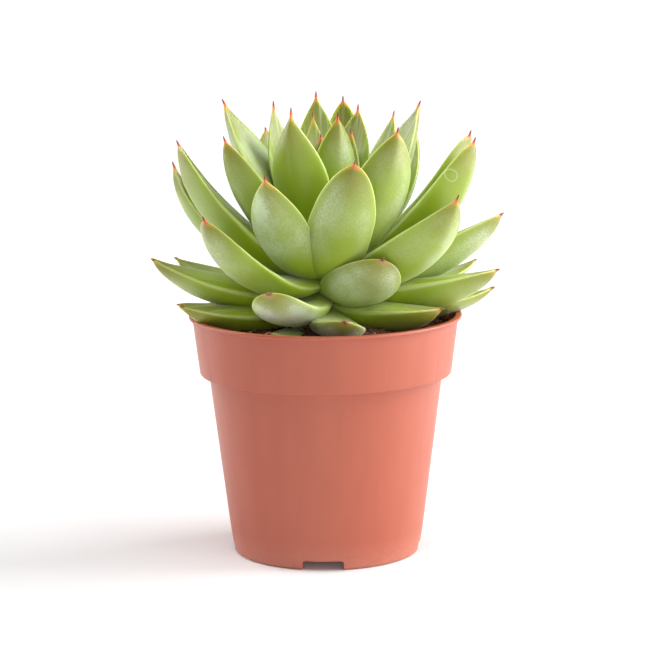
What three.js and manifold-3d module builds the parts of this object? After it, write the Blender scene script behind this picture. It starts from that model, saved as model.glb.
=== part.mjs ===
// Potted succulent: a rosette of pointed, keeled, fleshy leaves on a short stem, rooted in soil
// that fills a tapered plastic nursery pot with a collar, a rolled lip and a notched foot.
// Millimetres, +Z up. The origin is on the standing surface under the pot's axis, and the
// front of the pot faces -Y. Turns are measured about +Z from the front, positive to +X.
import * as THREE from 'three';
import { mergeVertices } from 'three/addons/utils/BufferGeometryUtils.js';
import Module from 'manifold-3d';

const wasm = await Module();
wasm.setup();

// ---------------------------------------------------------------- driving dimensions

// Clearance between pieces that touch on the real plant.
const GAP = 0.3;

// How far a cutter reaches past the wall that it cuts.
const CUT_BEYOND = 4;

// Pot: a 12 cm nursery pot with an even wall and a collar that steps out over the body.
const POT_HEIGHT = 105.9;
const LIP_RADIUS = 60;
const LIP_DEPTH = 1.5;
const COLLAR_TOP_RADIUS = 58.4;
const COLLAR_FOOT_RADIUS = 55.4;
const COLLAR_FOOT_HEIGHT = 79.9;
const BODY_TOP_RADIUS = 51.4;
const FOOT_RADIUS = 41.4;
const WALL = 1.2;
const EDGE_ROUND = 0.7;
const FOOT_ROUND = 1.8;
const FOOT_RING_WIDTH = 3;
const PLATE_UNDERSIDE = 4.5;
const PLATE_THICKNESS = 1.4;
const POT_SIDES = 48;

// Drip notches through the foot, and drainage holes through the raised plate.
const NOTCH_COUNT = 4;
const NOTCH_WIDTH = 18;
const NOTCH_HEIGHT = 4.2;
const NOTCH_CORNER = 1.3;
const NOTCH_TURN = -2.5;
const DRAIN_RADIUS = 3.5;
const DRAIN_COUNT = 8;
const DRAIN_RING = 27;
const DRAIN_SIDES = 16;

// Upright ribs inside the collar, on which stacked pots rest.
const RIB_COUNT = 12;
const RIB_THICKNESS = 1.2;
const RIB_DEPTH = 2.6;
const RIB_HEIGHT = 11;
const RIB_TURN = -2;

// Soil: filled to a few millimetres under the lip, a little higher round the stem.
const SOIL_EDGE_HEIGHT = 100.6;
const SOIL_MOUND = 3.2;
const SOIL_ROUGHNESS = 0.7;
const SOIL_RINGS = 4;

// Stem: sunk in the soil, tapering up through the leaf bases.
const STEM_BOTTOM = 96;
const STEM_BOTTOM_RADIUS = 7.6;
const STEM_WIDE_HEIGHT = 108;
const STEM_NARROW_HEIGHT = 136;
const STEM_WIDE_RADIUS = 9.5;
const STEM_NARROW_RADIUS = 4;
const STEM_TOP = 164;
const STEM_TOP_RADIUS = 1.6;
const STEM_SIDES = 20;

// Leaves rise from the stem one above another, from the outermost and lowest to the innermost,
// a little closer together towards the top.
const LOWEST_LEAF_BASE = 104.5;
const HIGHEST_LEAF_BASE = 138;
const BASE_CROWDING = 0.9;
const BASE_INSET = 1.5;

// Shape that all the leaves share, as fractions of a leaf's own length and width.
const WIDEST_AT = 0.52;
const BASE_WIDTH = 0.52;
const THICKEST_AT = 0.4;
const BASE_THICKNESS = 0.42;
const OUTER_FACE_SHARE = 0.66;
const KEEL_FROM = 0.2;
const KEEL_FULL_AT = 0.8;
const KEEL_SHARPNESS = 0.5;
const GUTTER_FULL_AT = 0.5;
const ROLL_FULL_AT = 0.4;
const SPINE_TIP_RADIUS = 0.35;
const CURVE_POWER = 1.7;

// Powers of the curves that bring a leaf to its point: the higher, the later it narrows.
const WIDTH_FALL = 2.2;
const INNER_FALL = 2.4;
const OUTER_FALL = 4;
const OUTER_FALL_ROUNDNESS = 0.75;

// How much more room a leaf's thin margins and tip leave to its neighbours than its faces do.
const EDGE_ROOM = 1.5;

// Powers of the section: a lens with thin margins, and a ridge that stands for the keel.
const LENS_POWER = 1.15;
const RIDGE_POWER = 1.35;

// Depth of the gutter along the inner face at each age, as a share of half the leaf's width.
const OLD = 0.02;
const RIPE = 0.06;
const FULL = 0.14;
const YOUNG = 0.18;

// Stations along a leaf, closer together towards the tip, and the angles round its section:
// the two margins at 0 and 180 degrees, the inner face above them and the keel at 270.
const LEAF_STATIONS = [0, 0.1, 0.24, 0.38, 0.52, 0.65, 0.77, 0.87, 0.95];
const SECTION_ANGLES = [0, 60, 120, 180, 225, 270, 315];

/**
 * One leaf: its turn about the stem, how far out and how high its tip is, how many degrees it
 * curls up, its width and thickness, how blunt its tip is (the smaller, the blunter), and its
 * gutter. Of its bends, roll turns the inner face to one side, sway moves the tip sideways and
 * curve sets where along the leaf it curls up: the higher, the nearer the tip.
 */
function leaf(turn, reach, height, curl, width, thick, blunt, gutter, bends = {}) {
  return { turn, reach, height, curl, width, thick, blunt, gutter, ...bends };
}

// The leaves, lowest first.
const LEAVES = [
  leaf(-27, 54, 106, 34, 15, 7, 0.7, OLD),
  leaf(9, 54, 111.5, 30, 24, 12, 0.5, OLD, { roll: 10 }),
  leaf(150, 60, 111, 24, 26, 10, 1, OLD),
  leaf(-172, 60, 110, 24, 26, 10, 1, OLD),
  leaf(-69, 67, 113.5, 20, 27, 15, 1.1, OLD, { curve: 1.6 }),
  leaf(-96, 66, 109, 28, 26, 10, 0.5, OLD, { roll: 6 }),
  leaf(-140, 64, 113, 28, 27, 10, 1.1, OLD),
  leaf(58, 60, 113, 25, 27, 15, 1, RIPE, { roll: 4, curve: 0.8 }),
  leaf(94, 75, 116, 30, 26, 11, 1.2, OLD, { roll: 4 }),
  leaf(-23, 63, 125, 52, 27, 10, 0.4, OLD, { roll: -10, sway: 1, curve: 1.5 }),
  leaf(-114, 74, 126.5, 30, 27, 10, 1, OLD, { roll: 8 }),
  leaf(170, 62, 125, 38, 27, 10.5, 1.1, RIPE),
  leaf(-84, 76.5, 133, 32, 32, 15, 1.2, OLD, { sway: 8, curve: 0.8 }),
  leaf(116, 76, 124, 30, 26, 8, 0.8, OLD, { roll: 6 }),
  leaf(77, 77.5, 127.5, 22, 26, 17, 0.6, RIPE, { roll: 8, curve: 1 }),
  leaf(32, 47, 136.5, 52, 30, 13, 0.5, RIPE, { roll: 26, curve: 2 }),
  leaf(80, 78.5, 151.5, 22, 31, 16, 0.6, RIPE, { roll: 14 }),
  leaf(-160, 66, 142, 42, 29, 11, 1.1, RIPE),
  leaf(150, 70, 138, 42, 28, 11, 1.1, RIPE),
  leaf(-47, 70, 155.5, 68, 34, 10, 0.6, FULL, { roll: 5, curve: 1 }),
  leaf(54, 70, 163, 56, 33, 12, 0.9, FULL, { roll: 18, curve: 1.4 }),
  leaf(-101, 68, 171.5, 54, 28, 12.5, 1.2, FULL),
  leaf(-31, 55.5, 173, 47, 27, 8.5, 0.9, FULL, { roll: -8, sway: 4, curve: 0.8 }),
  leaf(7, 58, 180, 50, 28, 11, 0.6, FULL, { roll: 14, sway: 6, curve: 0.8 }),
  leaf(92, 64, 185.5, 66, 32, 9, 0.5, FULL, { roll: 30, curve: 0.8 }),
  leaf(72, 68, 185, 64, 31, 12, 0.6, FULL, { roll: 17, curve: 0.8 }),
  leaf(-85, 64, 183, 54, 36, 14, 0.5, FULL, { curve: 0.8 }),
  leaf(-145, 46, 184, 25, 26, 9.5, 0.8, RIPE),
  leaf(119, 47, 185, 50, 22, 10, 1.2, FULL, { roll: -10 }),
  leaf(-178, 56, 176, 44, 27, 10, 1.1, FULL),
  leaf(138, 47, 191, 30, 17, 8.5, 1, FULL),
  leaf(-57, 51, 187, 40, 24, 11, 0.8, FULL, { roll: -11, curve: 0.8 }),
  leaf(33, 57, 192.5, 49, 28, 12, 0.8, FULL, { roll: 14, curve: 0.8 }),
  leaf(-109, 46, 199, 14, 33, 12, 1.3, FULL, { sway: 3, curve: 0.8 }),
  leaf(165, 33, 198, 50, 20, 8.5, 0.7, YOUNG, { roll: -8 }),
  leaf(101, 43, 198, 25, 29, 11, 1.3, FULL, { roll: -14, curve: 0.8 }),
  leaf(-30, 28, 198.5, 35, 26, 10, 1.3, YOUNG, { roll: -8, curve: 1.4 }),
  leaf(-173, 28, 200.5, 33, 22, 8.5, 1.1, YOUNG),
  leaf(-118, 25, 198, 36, 21, 7, 1.5, YOUNG, { roll: 10, curve: 1 }),
  leaf(134, 21, 196, 23, 23, 8.5, 1, YOUNG, { roll: -6 }),
  leaf(30, 12, 195, 14, 22, 7, 1, YOUNG),
  leaf(-148, 9, 193.5, 12, 15, 5.5, 1.2, YOUNG),
  leaf(115, 13, 186.5, 30, 18, 5.5, 1.2, YOUNG, { roll: -12 }),
  leaf(-20, 4, 185.5, 13, 12, 4, 0.7, YOUNG),
];

// Colours of the real surfaces, as sRGB.
const TERRACOTTA = { color: 0xcb7562, roughness: 0.45, metalness: 0 };
const DARK_SOIL = { color: 0x4a332a, roughness: 0.95, metalness: 0 };
const PALE_STEM = { color: 0x9aa866, roughness: 0.6, metalness: 0 };
const OUTER_LEAF_GREEN = new THREE.Color(0x9fb083);
const INNER_LEAF_GREEN = new THREE.Color(0x8fae4a);
const LEAF_ROUGHNESS = 0.5;

// ---------------------------------------------------------------- helpers

const radians = THREE.MathUtils.degToRad;
const clamp = THREE.MathUtils.clamp;
const lerp = THREE.MathUtils.lerp;

/** A small repeatable random generator, so that the soil is the same every time. */
function seededRandom(seed) {
  let state = seed;
  return () => {
    state = (state * 1664525 + 1013904223) % 4294967296;
    return state / 4294967296;
  };
}

/** A unit vector in the level plane for a turn from the front, positive to +X. */
function outward(turnDegrees) {
  const turn = radians(turnDegrees);
  return new THREE.Vector3(Math.sin(turn), -Math.cos(turn), 0);
}

/** The same geometry with positions only, and each shared corner stored once. */
function mergeCorners(geometry) {
  const bare = geometry.clone();
  bare.deleteAttribute('normal');
  bare.deleteAttribute('uv');
  return mergeVertices(bare, 1e-4);
}

/** A manifold solid from a closed three.js geometry. */
function toSolid(geometry) {
  const merged = mergeCorners(geometry);
  return new wasm.Manifold(new wasm.Mesh({
    numProp: 3,
    vertProperties: new Float32Array(merged.attributes.position.array),
    triVerts: new Uint32Array(merged.index.array),
  }));
}

/** A three.js geometry from a manifold solid. */
function toGeometry(solid) {
  const mesh = solid.getMesh();
  const geometry = new THREE.BufferGeometry();
  geometry.setAttribute('position', new THREE.BufferAttribute(new Float32Array(mesh.vertProperties), 3));
  geometry.setIndex(new THREE.BufferAttribute(new Uint32Array(mesh.triVerts), 1));
  geometry.computeVertexNormals();
  return geometry;
}

/** The largest separate body of a solid, without any scrap that a cut has left loose. */
function largestBody(solid) {
  const bodies = solid.decompose();
  return bodies.reduce((best, body) => (body.volume() > best.volume() ? body : best));
}

function makeMaterial({ color, roughness, metalness }) {
  return new THREE.MeshStandardMaterial({ color, roughness, metalness });
}

function makeMesh(name, solid, material) {
  const mesh = new THREE.Mesh(toGeometry(solid), material);
  mesh.name = name;
  return mesh;
}

/** A turned solid from a profile of [radius, height] points that goes up the outside. */
function turnedSolid(profile, sides) {
  const points = profile.map(([radius, height]) => new THREE.Vector2(radius, height));
  const geometry = new THREE.LatheGeometry(points, sides);
  geometry.rotateX(Math.PI / 2);
  return toSolid(geometry);
}

/** Points of a quarter round in a profile, from one angle to another, in degrees. */
function roundEdge(centreRadius, centreHeight, radius, fromDegrees, toDegrees, steps = 2) {
  return Array.from({ length: steps + 1 }, (_, step) => {
    const angle = radians(lerp(fromDegrees, toDegrees, step / steps));
    return [centreRadius + radius * Math.cos(angle), centreHeight + radius * Math.sin(angle)];
  });
}

// ---------------------------------------------------------------- pot

/** Outer radius of the pot's body below the collar. */
function bodyRadius(height) {
  return lerp(FOOT_RADIUS, BODY_TOP_RADIUS, height / COLLAR_FOOT_HEIGHT);
}

/** Inner radius of the collar's wall. */
function collarInnerRadius(height) {
  const share = (height - COLLAR_FOOT_HEIGHT) / (POT_HEIGHT - LIP_DEPTH - COLLAR_FOOT_HEIGHT);
  return lerp(COLLAR_FOOT_RADIUS, COLLAR_TOP_RADIUS, share) - WALL;
}

/** The pot's turned shell: foot ring, body, shoulder, collar and lip, with a raised plate. */
function potShell() {
  const shoulderTop = COLLAR_FOOT_HEIGHT + WALL;
  const lipUnderside = POT_HEIGHT - LIP_DEPTH;
  const plateTop = PLATE_UNDERSIDE + PLATE_THICKNESS;
  return turnedSolid([
    [0, PLATE_UNDERSIDE],
    [FOOT_RADIUS - FOOT_RING_WIDTH, PLATE_UNDERSIDE],
    [FOOT_RADIUS - FOOT_RING_WIDTH, 0],
    ...roundEdge(FOOT_RADIUS - FOOT_ROUND, FOOT_ROUND, FOOT_ROUND, -90, 0),
    [BODY_TOP_RADIUS, COLLAR_FOOT_HEIGHT],
    ...roundEdge(COLLAR_FOOT_RADIUS - EDGE_ROUND, COLLAR_FOOT_HEIGHT + EDGE_ROUND, EDGE_ROUND, -90, 0),
    [COLLAR_TOP_RADIUS, lipUnderside],
    ...roundEdge(LIP_RADIUS - EDGE_ROUND, lipUnderside + EDGE_ROUND, EDGE_ROUND, -90, 0),
    ...roundEdge(LIP_RADIUS - EDGE_ROUND, POT_HEIGHT - EDGE_ROUND, EDGE_ROUND, 0, 90),
    [collarInnerRadius(lipUnderside), POT_HEIGHT],
    [collarInnerRadius(shoulderTop), shoulderTop],
    [BODY_TOP_RADIUS - WALL, shoulderTop],
    [bodyRadius(plateTop) - WALL, plateTop],
    [0, plateTop],
  ], POT_SIDES);
}

/** A slot outline with a flat top and rounded upper corners, open at the foot's edge. */
function notchShape() {
  const half = NOTCH_WIDTH / 2;
  const shape = new THREE.Shape();
  shape.moveTo(-half, -CUT_BEYOND);
  shape.lineTo(half, -CUT_BEYOND);
  shape.lineTo(half, NOTCH_HEIGHT - NOTCH_CORNER);
  shape.absarc(half - NOTCH_CORNER, NOTCH_HEIGHT - NOTCH_CORNER, NOTCH_CORNER, 0, Math.PI / 2, false);
  shape.absarc(-half + NOTCH_CORNER, NOTCH_HEIGHT - NOTCH_CORNER, NOTCH_CORNER, Math.PI / 2, Math.PI, false);
  shape.closePath();
  return shape;
}

/** The cutter for one drip notch: it runs out through the foot ring at the given turn. */
function notchCutter(turnDegrees) {
  const inner = FOOT_RADIUS - FOOT_RING_WIDTH - CUT_BEYOND;
  const geometry = new THREE.ExtrudeGeometry(notchShape(), {
    depth: FOOT_RADIUS + CUT_BEYOND - inner,
    bevelEnabled: false,
    curveSegments: 3,
  });
  geometry.rotateX(Math.PI / 2);
  geometry.translate(0, -inner, 0);
  geometry.rotateZ(radians(turnDegrees));
  return toSolid(geometry);
}

/** The cutter for one round drainage hole through the plate. */
function drainCutter(ringRadius, turnDegrees) {
  const height = PLATE_THICKNESS + CUT_BEYOND;
  const geometry = new THREE.CylinderGeometry(DRAIN_RADIUS, DRAIN_RADIUS, height, DRAIN_SIDES);
  geometry.rotateX(Math.PI / 2);
  const place = outward(turnDegrees).multiplyScalar(ringRadius);
  geometry.translate(place.x, place.y, PLATE_UNDERSIDE + PLATE_THICKNESS / 2);
  return toSolid(geometry);
}

/** One stacking rib: a thin upright wedge between the shoulder and the collar's wall. */
function stackingRib(turnDegrees, grow = 0) {
  const base = COLLAR_FOOT_HEIGHT + WALL / 2;
  const top = COLLAR_FOOT_HEIGHT + WALL + RIB_HEIGHT + grow;
  const shape = new THREE.Shape();
  shape.moveTo(collarInnerRadius(base) + WALL / 2, base);
  shape.lineTo(collarInnerRadius(top) + WALL / 2, top);
  shape.lineTo(collarInnerRadius(top) - grow, top);
  shape.lineTo(collarInnerRadius(base) - RIB_DEPTH - grow, base);
  shape.closePath();
  const thickness = RIB_THICKNESS + 2 * grow;
  const geometry = new THREE.ExtrudeGeometry(shape, { depth: thickness, bevelEnabled: false });
  geometry.translate(0, 0, -thickness / 2);
  geometry.rotateX(Math.PI / 2);
  geometry.rotateZ(radians(turnDegrees - 90));
  return toSolid(geometry);
}

function ribTurns() {
  return Array.from({ length: RIB_COUNT }, (_, rib) => RIB_TURN + rib * 360 / RIB_COUNT);
}

function makePot() {
  let pot = potShell();
  for (const turn of ribTurns()) {
    pot = pot.add(stackingRib(turn));
  }
  for (let notch = 0; notch < NOTCH_COUNT; notch += 1) {
    pot = pot.subtract(notchCutter(NOTCH_TURN + notch * 360 / NOTCH_COUNT));
  }
  pot = pot.subtract(drainCutter(0, 0));
  for (let hole = 0; hole < DRAIN_COUNT; hole += 1) {
    pot = pot.subtract(drainCutter(DRAIN_RING, (hole + 0.5) * 360 / DRAIN_COUNT));
  }
  return pot;
}

/** A turned solid a little larger than the collar and lip, which leaves are kept out of. */
function rimKeepOut() {
  const low = COLLAR_FOOT_HEIGHT;
  const innerFoot = [collarInnerRadius(low) - GAP, low];
  return turnedSolid([
    innerFoot,
    [LIP_RADIUS + GAP, low],
    [LIP_RADIUS + GAP, POT_HEIGHT - EDGE_ROUND],
    [LIP_RADIUS - EDGE_ROUND, POT_HEIGHT + GAP],
    [collarInnerRadius(POT_HEIGHT - LIP_DEPTH) - GAP, POT_HEIGHT + GAP],
    innerFoot,
  ], POT_SIDES);
}

// ---------------------------------------------------------------- soil and stem

/** Height of the soil's surface at a radius, before its roughness. */
function soilHeight(radius, edgeRadius) {
  return SOIL_EDGE_HEIGHT + SOIL_MOUND * (1 - (radius / edgeRadius) ** 2);
}

/** The soil as a turned solid that follows the inside of the pot, with an uneven top. */
function makeSoilBlock() {
  const bottom = PLATE_UNDERSIDE + PLATE_THICKNESS + GAP;
  const shoulderTop = COLLAR_FOOT_HEIGHT + WALL + GAP;
  const edge = collarInnerRadius(SOIL_EDGE_HEIGHT) - GAP;
  const rings = Array.from({ length: SOIL_RINGS }, (_, ring) => edge * (1 - (ring + 1) / SOIL_RINGS));
  const points = [
    [0, bottom],
    [bodyRadius(bottom) - WALL - GAP, bottom],
    [BODY_TOP_RADIUS - WALL - GAP, shoulderTop],
    [collarInnerRadius(shoulderTop) - GAP, shoulderTop],
    [edge, SOIL_EDGE_HEIGHT],
    ...rings.map((radius) => [Math.max(radius, 0), soilHeight(radius, edge)]),
  ];
  const profile = points.map(([radius, height]) => new THREE.Vector2(radius, height));
  const geometry = new THREE.LatheGeometry(profile, POT_SIDES);
  geometry.rotateX(Math.PI / 2);
  const block = mergeCorners(geometry);
  roughenTop(block);
  return toSolid(block);
}

/** Moves the points of the soil's top up and down a little, inside its edge. */
function roughenTop(block) {
  const position = block.attributes.position;
  const random = seededRandom(7);
  for (let i = 0; i < position.count; i += 1) {
    const height = position.getZ(i);
    if (height > SOIL_EDGE_HEIGHT + 0.01) {
      position.setZ(i, height + (random() * 2 - 1) * SOIL_ROUGHNESS);
    }
  }
}

/** Radius of the stem at a height. */
function stemRadius(height) {
  const share = (height - STEM_WIDE_HEIGHT) / (STEM_NARROW_HEIGHT - STEM_WIDE_HEIGHT);
  return lerp(STEM_WIDE_RADIUS, STEM_NARROW_RADIUS, clamp(share, 0, 1));
}

/** The stem, or with grow above 0 the space that other pieces keep clear of. */
function stemSolid(grow = 0) {
  return turnedSolid([
    [0, STEM_BOTTOM - grow],
    [STEM_BOTTOM_RADIUS + grow, STEM_BOTTOM - grow],
    [STEM_WIDE_RADIUS + grow, STEM_WIDE_HEIGHT],
    [STEM_NARROW_RADIUS + grow, STEM_NARROW_HEIGHT],
    [STEM_TOP_RADIUS + grow, STEM_TOP],
    [0, STEM_TOP + STEM_TOP_RADIUS + grow],
  ], STEM_SIDES);
}

// ---------------------------------------------------------------- leaves

/** Height on the stem at which the leaf of a given order starts. */
function leafBaseHeight(order) {
  const share = (order / (LEAVES.length - 1)) ** BASE_CROWDING;
  return lerp(LOWEST_LEAF_BASE, HIGHEST_LEAF_BASE, share);
}

/** Half a leaf's width along it, as a fraction: from a broad base to a point. */
function outline(u, blunt) {
  if (u < WIDEST_AT) {
    return lerp(BASE_WIDTH, 1, Math.sin(Math.PI / 2 * u / WIDEST_AT));
  }
  return (1 - ((u - WIDEST_AT) / (1 - WIDEST_AT)) ** WIDTH_FALL) ** blunt;
}

/** Thickness of the outer half of a leaf along it, as a fraction: full in the middle. */
function outerFullness(u) {
  const swell = Math.sin(Math.PI / 2 * Math.min(u / THICKEST_AT, 1));
  return lerp(BASE_THICKNESS, 1, swell) * (1 - u ** OUTER_FALL) ** OUTER_FALL_ROUNDNESS;
}

/** The line along the middle of a leaf: [distance out, height, slope] at each station. */
function leafSpine(leaf, order) {
  const steps = 200;
  const power = leaf.curve ?? CURVE_POWER;
  const slopeAt = (u) => radians(leaf.curl) * u ** power;
  const path = [[0, 0]];
  for (let step = 1; step <= steps; step += 1) {
    const slope = slopeAt((step - 0.5) / steps);
    const [x, y] = path[step - 1];
    path.push([x + Math.cos(slope) / steps, y + Math.sin(slope) / steps]);
  }
  const baseHeight = leafBaseHeight(order);
  const baseRadius = stemRadius(baseHeight) - BASE_INSET;
  const across = leaf.reach - baseRadius;
  const up = leaf.height - baseHeight;
  const [endX, endY] = path[steps];
  const length = Math.hypot(across, up) / Math.hypot(endX, endY);
  const tilt = Math.atan2(up, across) - Math.atan2(endY, endX);
  return (u) => {
    const place = u * steps;
    const below = Math.min(Math.floor(place), steps - 1);
    const x = lerp(path[below][0], path[below + 1][0], place - below) * length;
    const y = lerp(path[below][1], path[below + 1][1], place - below) * length;
    return {
      out: baseRadius + x * Math.cos(tilt) - y * Math.sin(tilt),
      height: baseHeight + x * Math.sin(tilt) + y * Math.cos(tilt),
      slope: tilt + slopeAt(u),
    };
  };
}

/** Points round a leaf's section at a station: across it and towards its inner face. */
function leafSection(leaf, u, grow) {
  const outerThickness = leaf.thick * OUTER_FACE_SHARE * outerFullness(u);
  const innerThickness = leaf.thick * (1 - OUTER_FACE_SHARE) * (1 - u ** INNER_FALL);
  const halfWidth = Math.max(leaf.width / 2 * outline(u, leaf.blunt), SPINE_TIP_RADIUS) + EDGE_ROOM * grow;
  const outer = Math.max(outerThickness, SPINE_TIP_RADIUS) + grow;
  const inner = Math.max(innerThickness, SPINE_TIP_RADIUS) + grow;
  const keel = clamp((u - KEEL_FROM) / (KEEL_FULL_AT - KEEL_FROM), 0, 1) * KEEL_SHARPNESS;
  const gutter = leaf.gutter * clamp(u / GUTTER_FULL_AT, 0, 1) * halfWidth;
  return SECTION_ANGLES.map((degrees) => {
    const across = Math.cos(radians(degrees));
    const side = Math.sin(radians(degrees));
    const lens = Math.abs(side) ** LENS_POWER;
    const ridge = 1 - Math.abs(across) ** RIDGE_POWER;
    const face = side >= 0 ? inner * lens : -outer * lerp(lens, ridge, keel);
    return [halfWidth * across, face + gutter * across * across];
  });
}

/** A leaf as a closed solid, or with grow above 0 the space that its neighbours leave it. */
function leafSolid(leaf, order, grow = 0) {
  const spine = leafSpine(leaf, order);
  const out = outward(leaf.turn);
  const up = new THREE.Vector3(0, 0, 1);
  const sideways = new THREE.Vector3().crossVectors(up, out);
  const positions = [];
  const pointAt = (u, beyond = 0) => {
    const { out: distance, height, slope } = spine(u);
    const along = out.clone().multiplyScalar(Math.cos(slope)).addScaledVector(up, Math.sin(slope));
    const inward = out.clone().multiplyScalar(-Math.sin(slope)).addScaledVector(up, Math.cos(slope));
    const roll = radians(leaf.roll ?? 0) * Math.sin(Math.PI / 2 * Math.min(u / ROLL_FULL_AT, 1));
    const centre = out.clone().multiplyScalar(distance).addScaledVector(up, height)
      .addScaledVector(sideways, (leaf.sway ?? 0) * u * u).addScaledVector(along, beyond);
    const face = inward.clone().multiplyScalar(Math.cos(roll)).addScaledVector(sideways, Math.sin(roll));
    const across = inward.multiplyScalar(-Math.sin(roll)).addScaledVector(sideways, Math.cos(roll));
    return { centre, face, across };
  };
  for (const u of LEAF_STATIONS) {
    const { centre, face, across } = pointAt(u, u === 0 ? -grow : 0);
    for (const [x, y] of leafSection(leaf, u, grow)) {
      const point = centre.clone().addScaledVector(across, x).addScaledVector(face, y);
      positions.push(point.x, point.y, point.z);
    }
  }
  const base = pointAt(0, -grow).centre;
  const tip = pointAt(1, EDGE_ROOM * grow).centre;
  positions.push(base.x, base.y, base.z, tip.x, tip.y, tip.z);
  const geometry = new THREE.BufferGeometry();
  geometry.setAttribute('position', new THREE.Float32BufferAttribute(positions, 3));
  geometry.setIndex(leafTriangles());
  return toSolid(geometry);
}

/** Triangles of a leaf: quads between the stations, and a fan at the base and the tip. */
function leafTriangles() {
  const sides = SECTION_ANGLES.length;
  const stations = LEAF_STATIONS.length;
  const baseIndex = sides * stations;
  const tipIndex = baseIndex + 1;
  const lastRing = sides * (stations - 1);
  const triangles = [];
  for (let side = 0; side < sides; side += 1) {
    const next = (side + 1) % sides;
    for (let station = 0; station < stations - 1; station += 1) {
      const near = station * sides;
      const far = near + sides;
      triangles.push(near + side, far + next, far + side, near + side, near + next, far + next);
    }
    triangles.push(baseIndex, next, side, tipIndex, lastRing + side, lastRing + next);
  }
  return triangles;
}

/** Every leaf, each cut back where it would run into the stem, the rim or a lower leaf. */
function makeLeaves() {
  const blocked = [stemSolid(GAP), rimKeepOut()];
  const leaves = [];
  LEAVES.forEach((leaf, order) => {
    let solid = leafSolid(leaf, order);
    for (const keepOut of blocked) {
      solid = solid.subtract(keepOut);
    }
    leaves.push(largestBody(solid));
    blocked.push(leafSolid(leaf, order, GAP));
  });
  return { leaves, leafSpaces: blocked.slice(2) };
}

/** Soil with a hollow wherever the stem stands in it or a low leaf presses on it. */
function makeSoil(leafSpaces) {
  let soil = makeSoilBlock().subtract(stemSolid(GAP));
  for (const turn of ribTurns()) {
    soil = soil.subtract(stackingRib(turn, GAP));
  }
  for (const space of leafSpaces) {
    soil = soil.subtract(space);
  }
  return largestBody(soil);
}

/** A leaf's colour: greyer on the outer leaves, yellower towards the heart. */
function leafMaterial(order) {
  const color = OUTER_LEAF_GREEN.clone().lerp(INNER_LEAF_GREEN, order / (LEAVES.length - 1));
  return makeMaterial({ color, roughness: LEAF_ROUGHNESS, metalness: 0 });
}

// ---------------------------------------------------------------- the potted plant

function makePottedSucculent() {
  const group = new THREE.Group();
  const { leaves, leafSpaces } = makeLeaves();
  group.add(makeMesh('pot', makePot(), makeMaterial(TERRACOTTA)));
  group.add(makeMesh('soil', makeSoil(leafSpaces), makeMaterial(DARK_SOIL)));
  group.add(makeMesh('stem', stemSolid(), makeMaterial(PALE_STEM)));
  leaves.forEach((solid, order) => {
    const name = `leaf_${String(order + 1).padStart(2, '0')}`;
    group.add(makeMesh(name, solid, leafMaterial(order)));
  });
  return group;
}

export default makePottedSucculent();
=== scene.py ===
"""Potted succulent: a rosette of fleshy leaves in a terracotta-coloured plastic nursery pot.

Lengths in the classes are millimetres and become metres when a mesh is made. The origin is on
the standing surface under the pot's axis, and the front faces -Y. Turns are degrees about +Z
from the front, positive towards +X.
"""
import logging
import math
from abc import ABC, abstractmethod
from dataclasses import dataclass, field
from enum import Enum
from functools import partial
from typing import Any, Callable, Sequence

import bmesh
import bpy
import numpy as np
from mathutils import Matrix, Vector


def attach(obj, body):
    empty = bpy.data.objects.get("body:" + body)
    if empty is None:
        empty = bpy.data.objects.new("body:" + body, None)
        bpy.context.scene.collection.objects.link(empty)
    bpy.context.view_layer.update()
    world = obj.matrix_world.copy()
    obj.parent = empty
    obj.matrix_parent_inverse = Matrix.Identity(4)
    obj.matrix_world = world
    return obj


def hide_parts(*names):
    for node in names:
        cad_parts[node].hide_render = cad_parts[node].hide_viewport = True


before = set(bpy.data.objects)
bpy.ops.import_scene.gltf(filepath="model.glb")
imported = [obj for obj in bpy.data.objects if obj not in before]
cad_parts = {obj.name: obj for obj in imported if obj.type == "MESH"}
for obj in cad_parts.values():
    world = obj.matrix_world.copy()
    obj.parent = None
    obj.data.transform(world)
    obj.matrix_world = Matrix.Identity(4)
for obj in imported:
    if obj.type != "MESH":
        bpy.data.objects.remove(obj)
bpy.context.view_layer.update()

log = logging.getLogger("potted_succulent")

MM = 0.001
BODY = "root"
UPRIGHT = np.array([0.0, 0.0, 1.0])

Piece = bpy.types.Object
Socket = bpy.types.NodeSocket
Values = np.ndarray | float


# ---------------------------------------------------------------- shared tools


def linear(hex_colour: str) -> tuple[float, float, float, float]:
    """Turn an sRGB hex colour into linear light.

    Args:
        hex_colour: six hex digits, as in "CB7562".

    Returns:
        Linear red, green and blue, with an alpha of 1.
    """
    parts = [int(hex_colour[i:i + 2], 16) / 255 for i in (0, 2, 4)]
    red, green, blue = [c / 12.92 if c <= 0.04045 else ((c + 0.055) / 1.055) ** 2.4 for c in parts]
    return red, green, blue, 1.0


def outward(turn: Values) -> np.ndarray:
    """Level unit vectors for turns in degrees: (sin turn, -cos turn, 0)."""
    angle = np.radians(turn)
    return np.stack([np.sin(angle), -np.cos(angle), np.zeros_like(angle)], -1)


def even_turns(count: int, first: float = 0.0) -> np.ndarray:
    """Turns in even steps, from the first."""
    return first + np.arange(count) * 360 / count


def quarter_on(ways: np.ndarray) -> np.ndarray:
    """Level unit vectors a quarter turn on from others."""
    return np.stack([-ways[:, 1], ways[:, 0], ways[:, 2]], -1)


def rotated(x: Values, y: Values, angle: Values) -> tuple[Values, Values]:
    """Two coordinates after a turn in radians: (x cos - y sin, x sin + y cos)."""
    return x * np.cos(angle) - y * np.sin(angle), x * np.sin(angle) + y * np.cos(angle)


def turns_apart(turns: np.ndarray, others: np.ndarray) -> np.ndarray:
    """Degrees from each turn to the nearest of some others."""
    return np.abs((turns[:, None] - others + 180) % 360 - 180).min(1)


def blend(start: Values, end: Values, share: Values) -> Values:
    """The value that lies a share of the way from one to another."""
    return start + (end - start) * share


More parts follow.
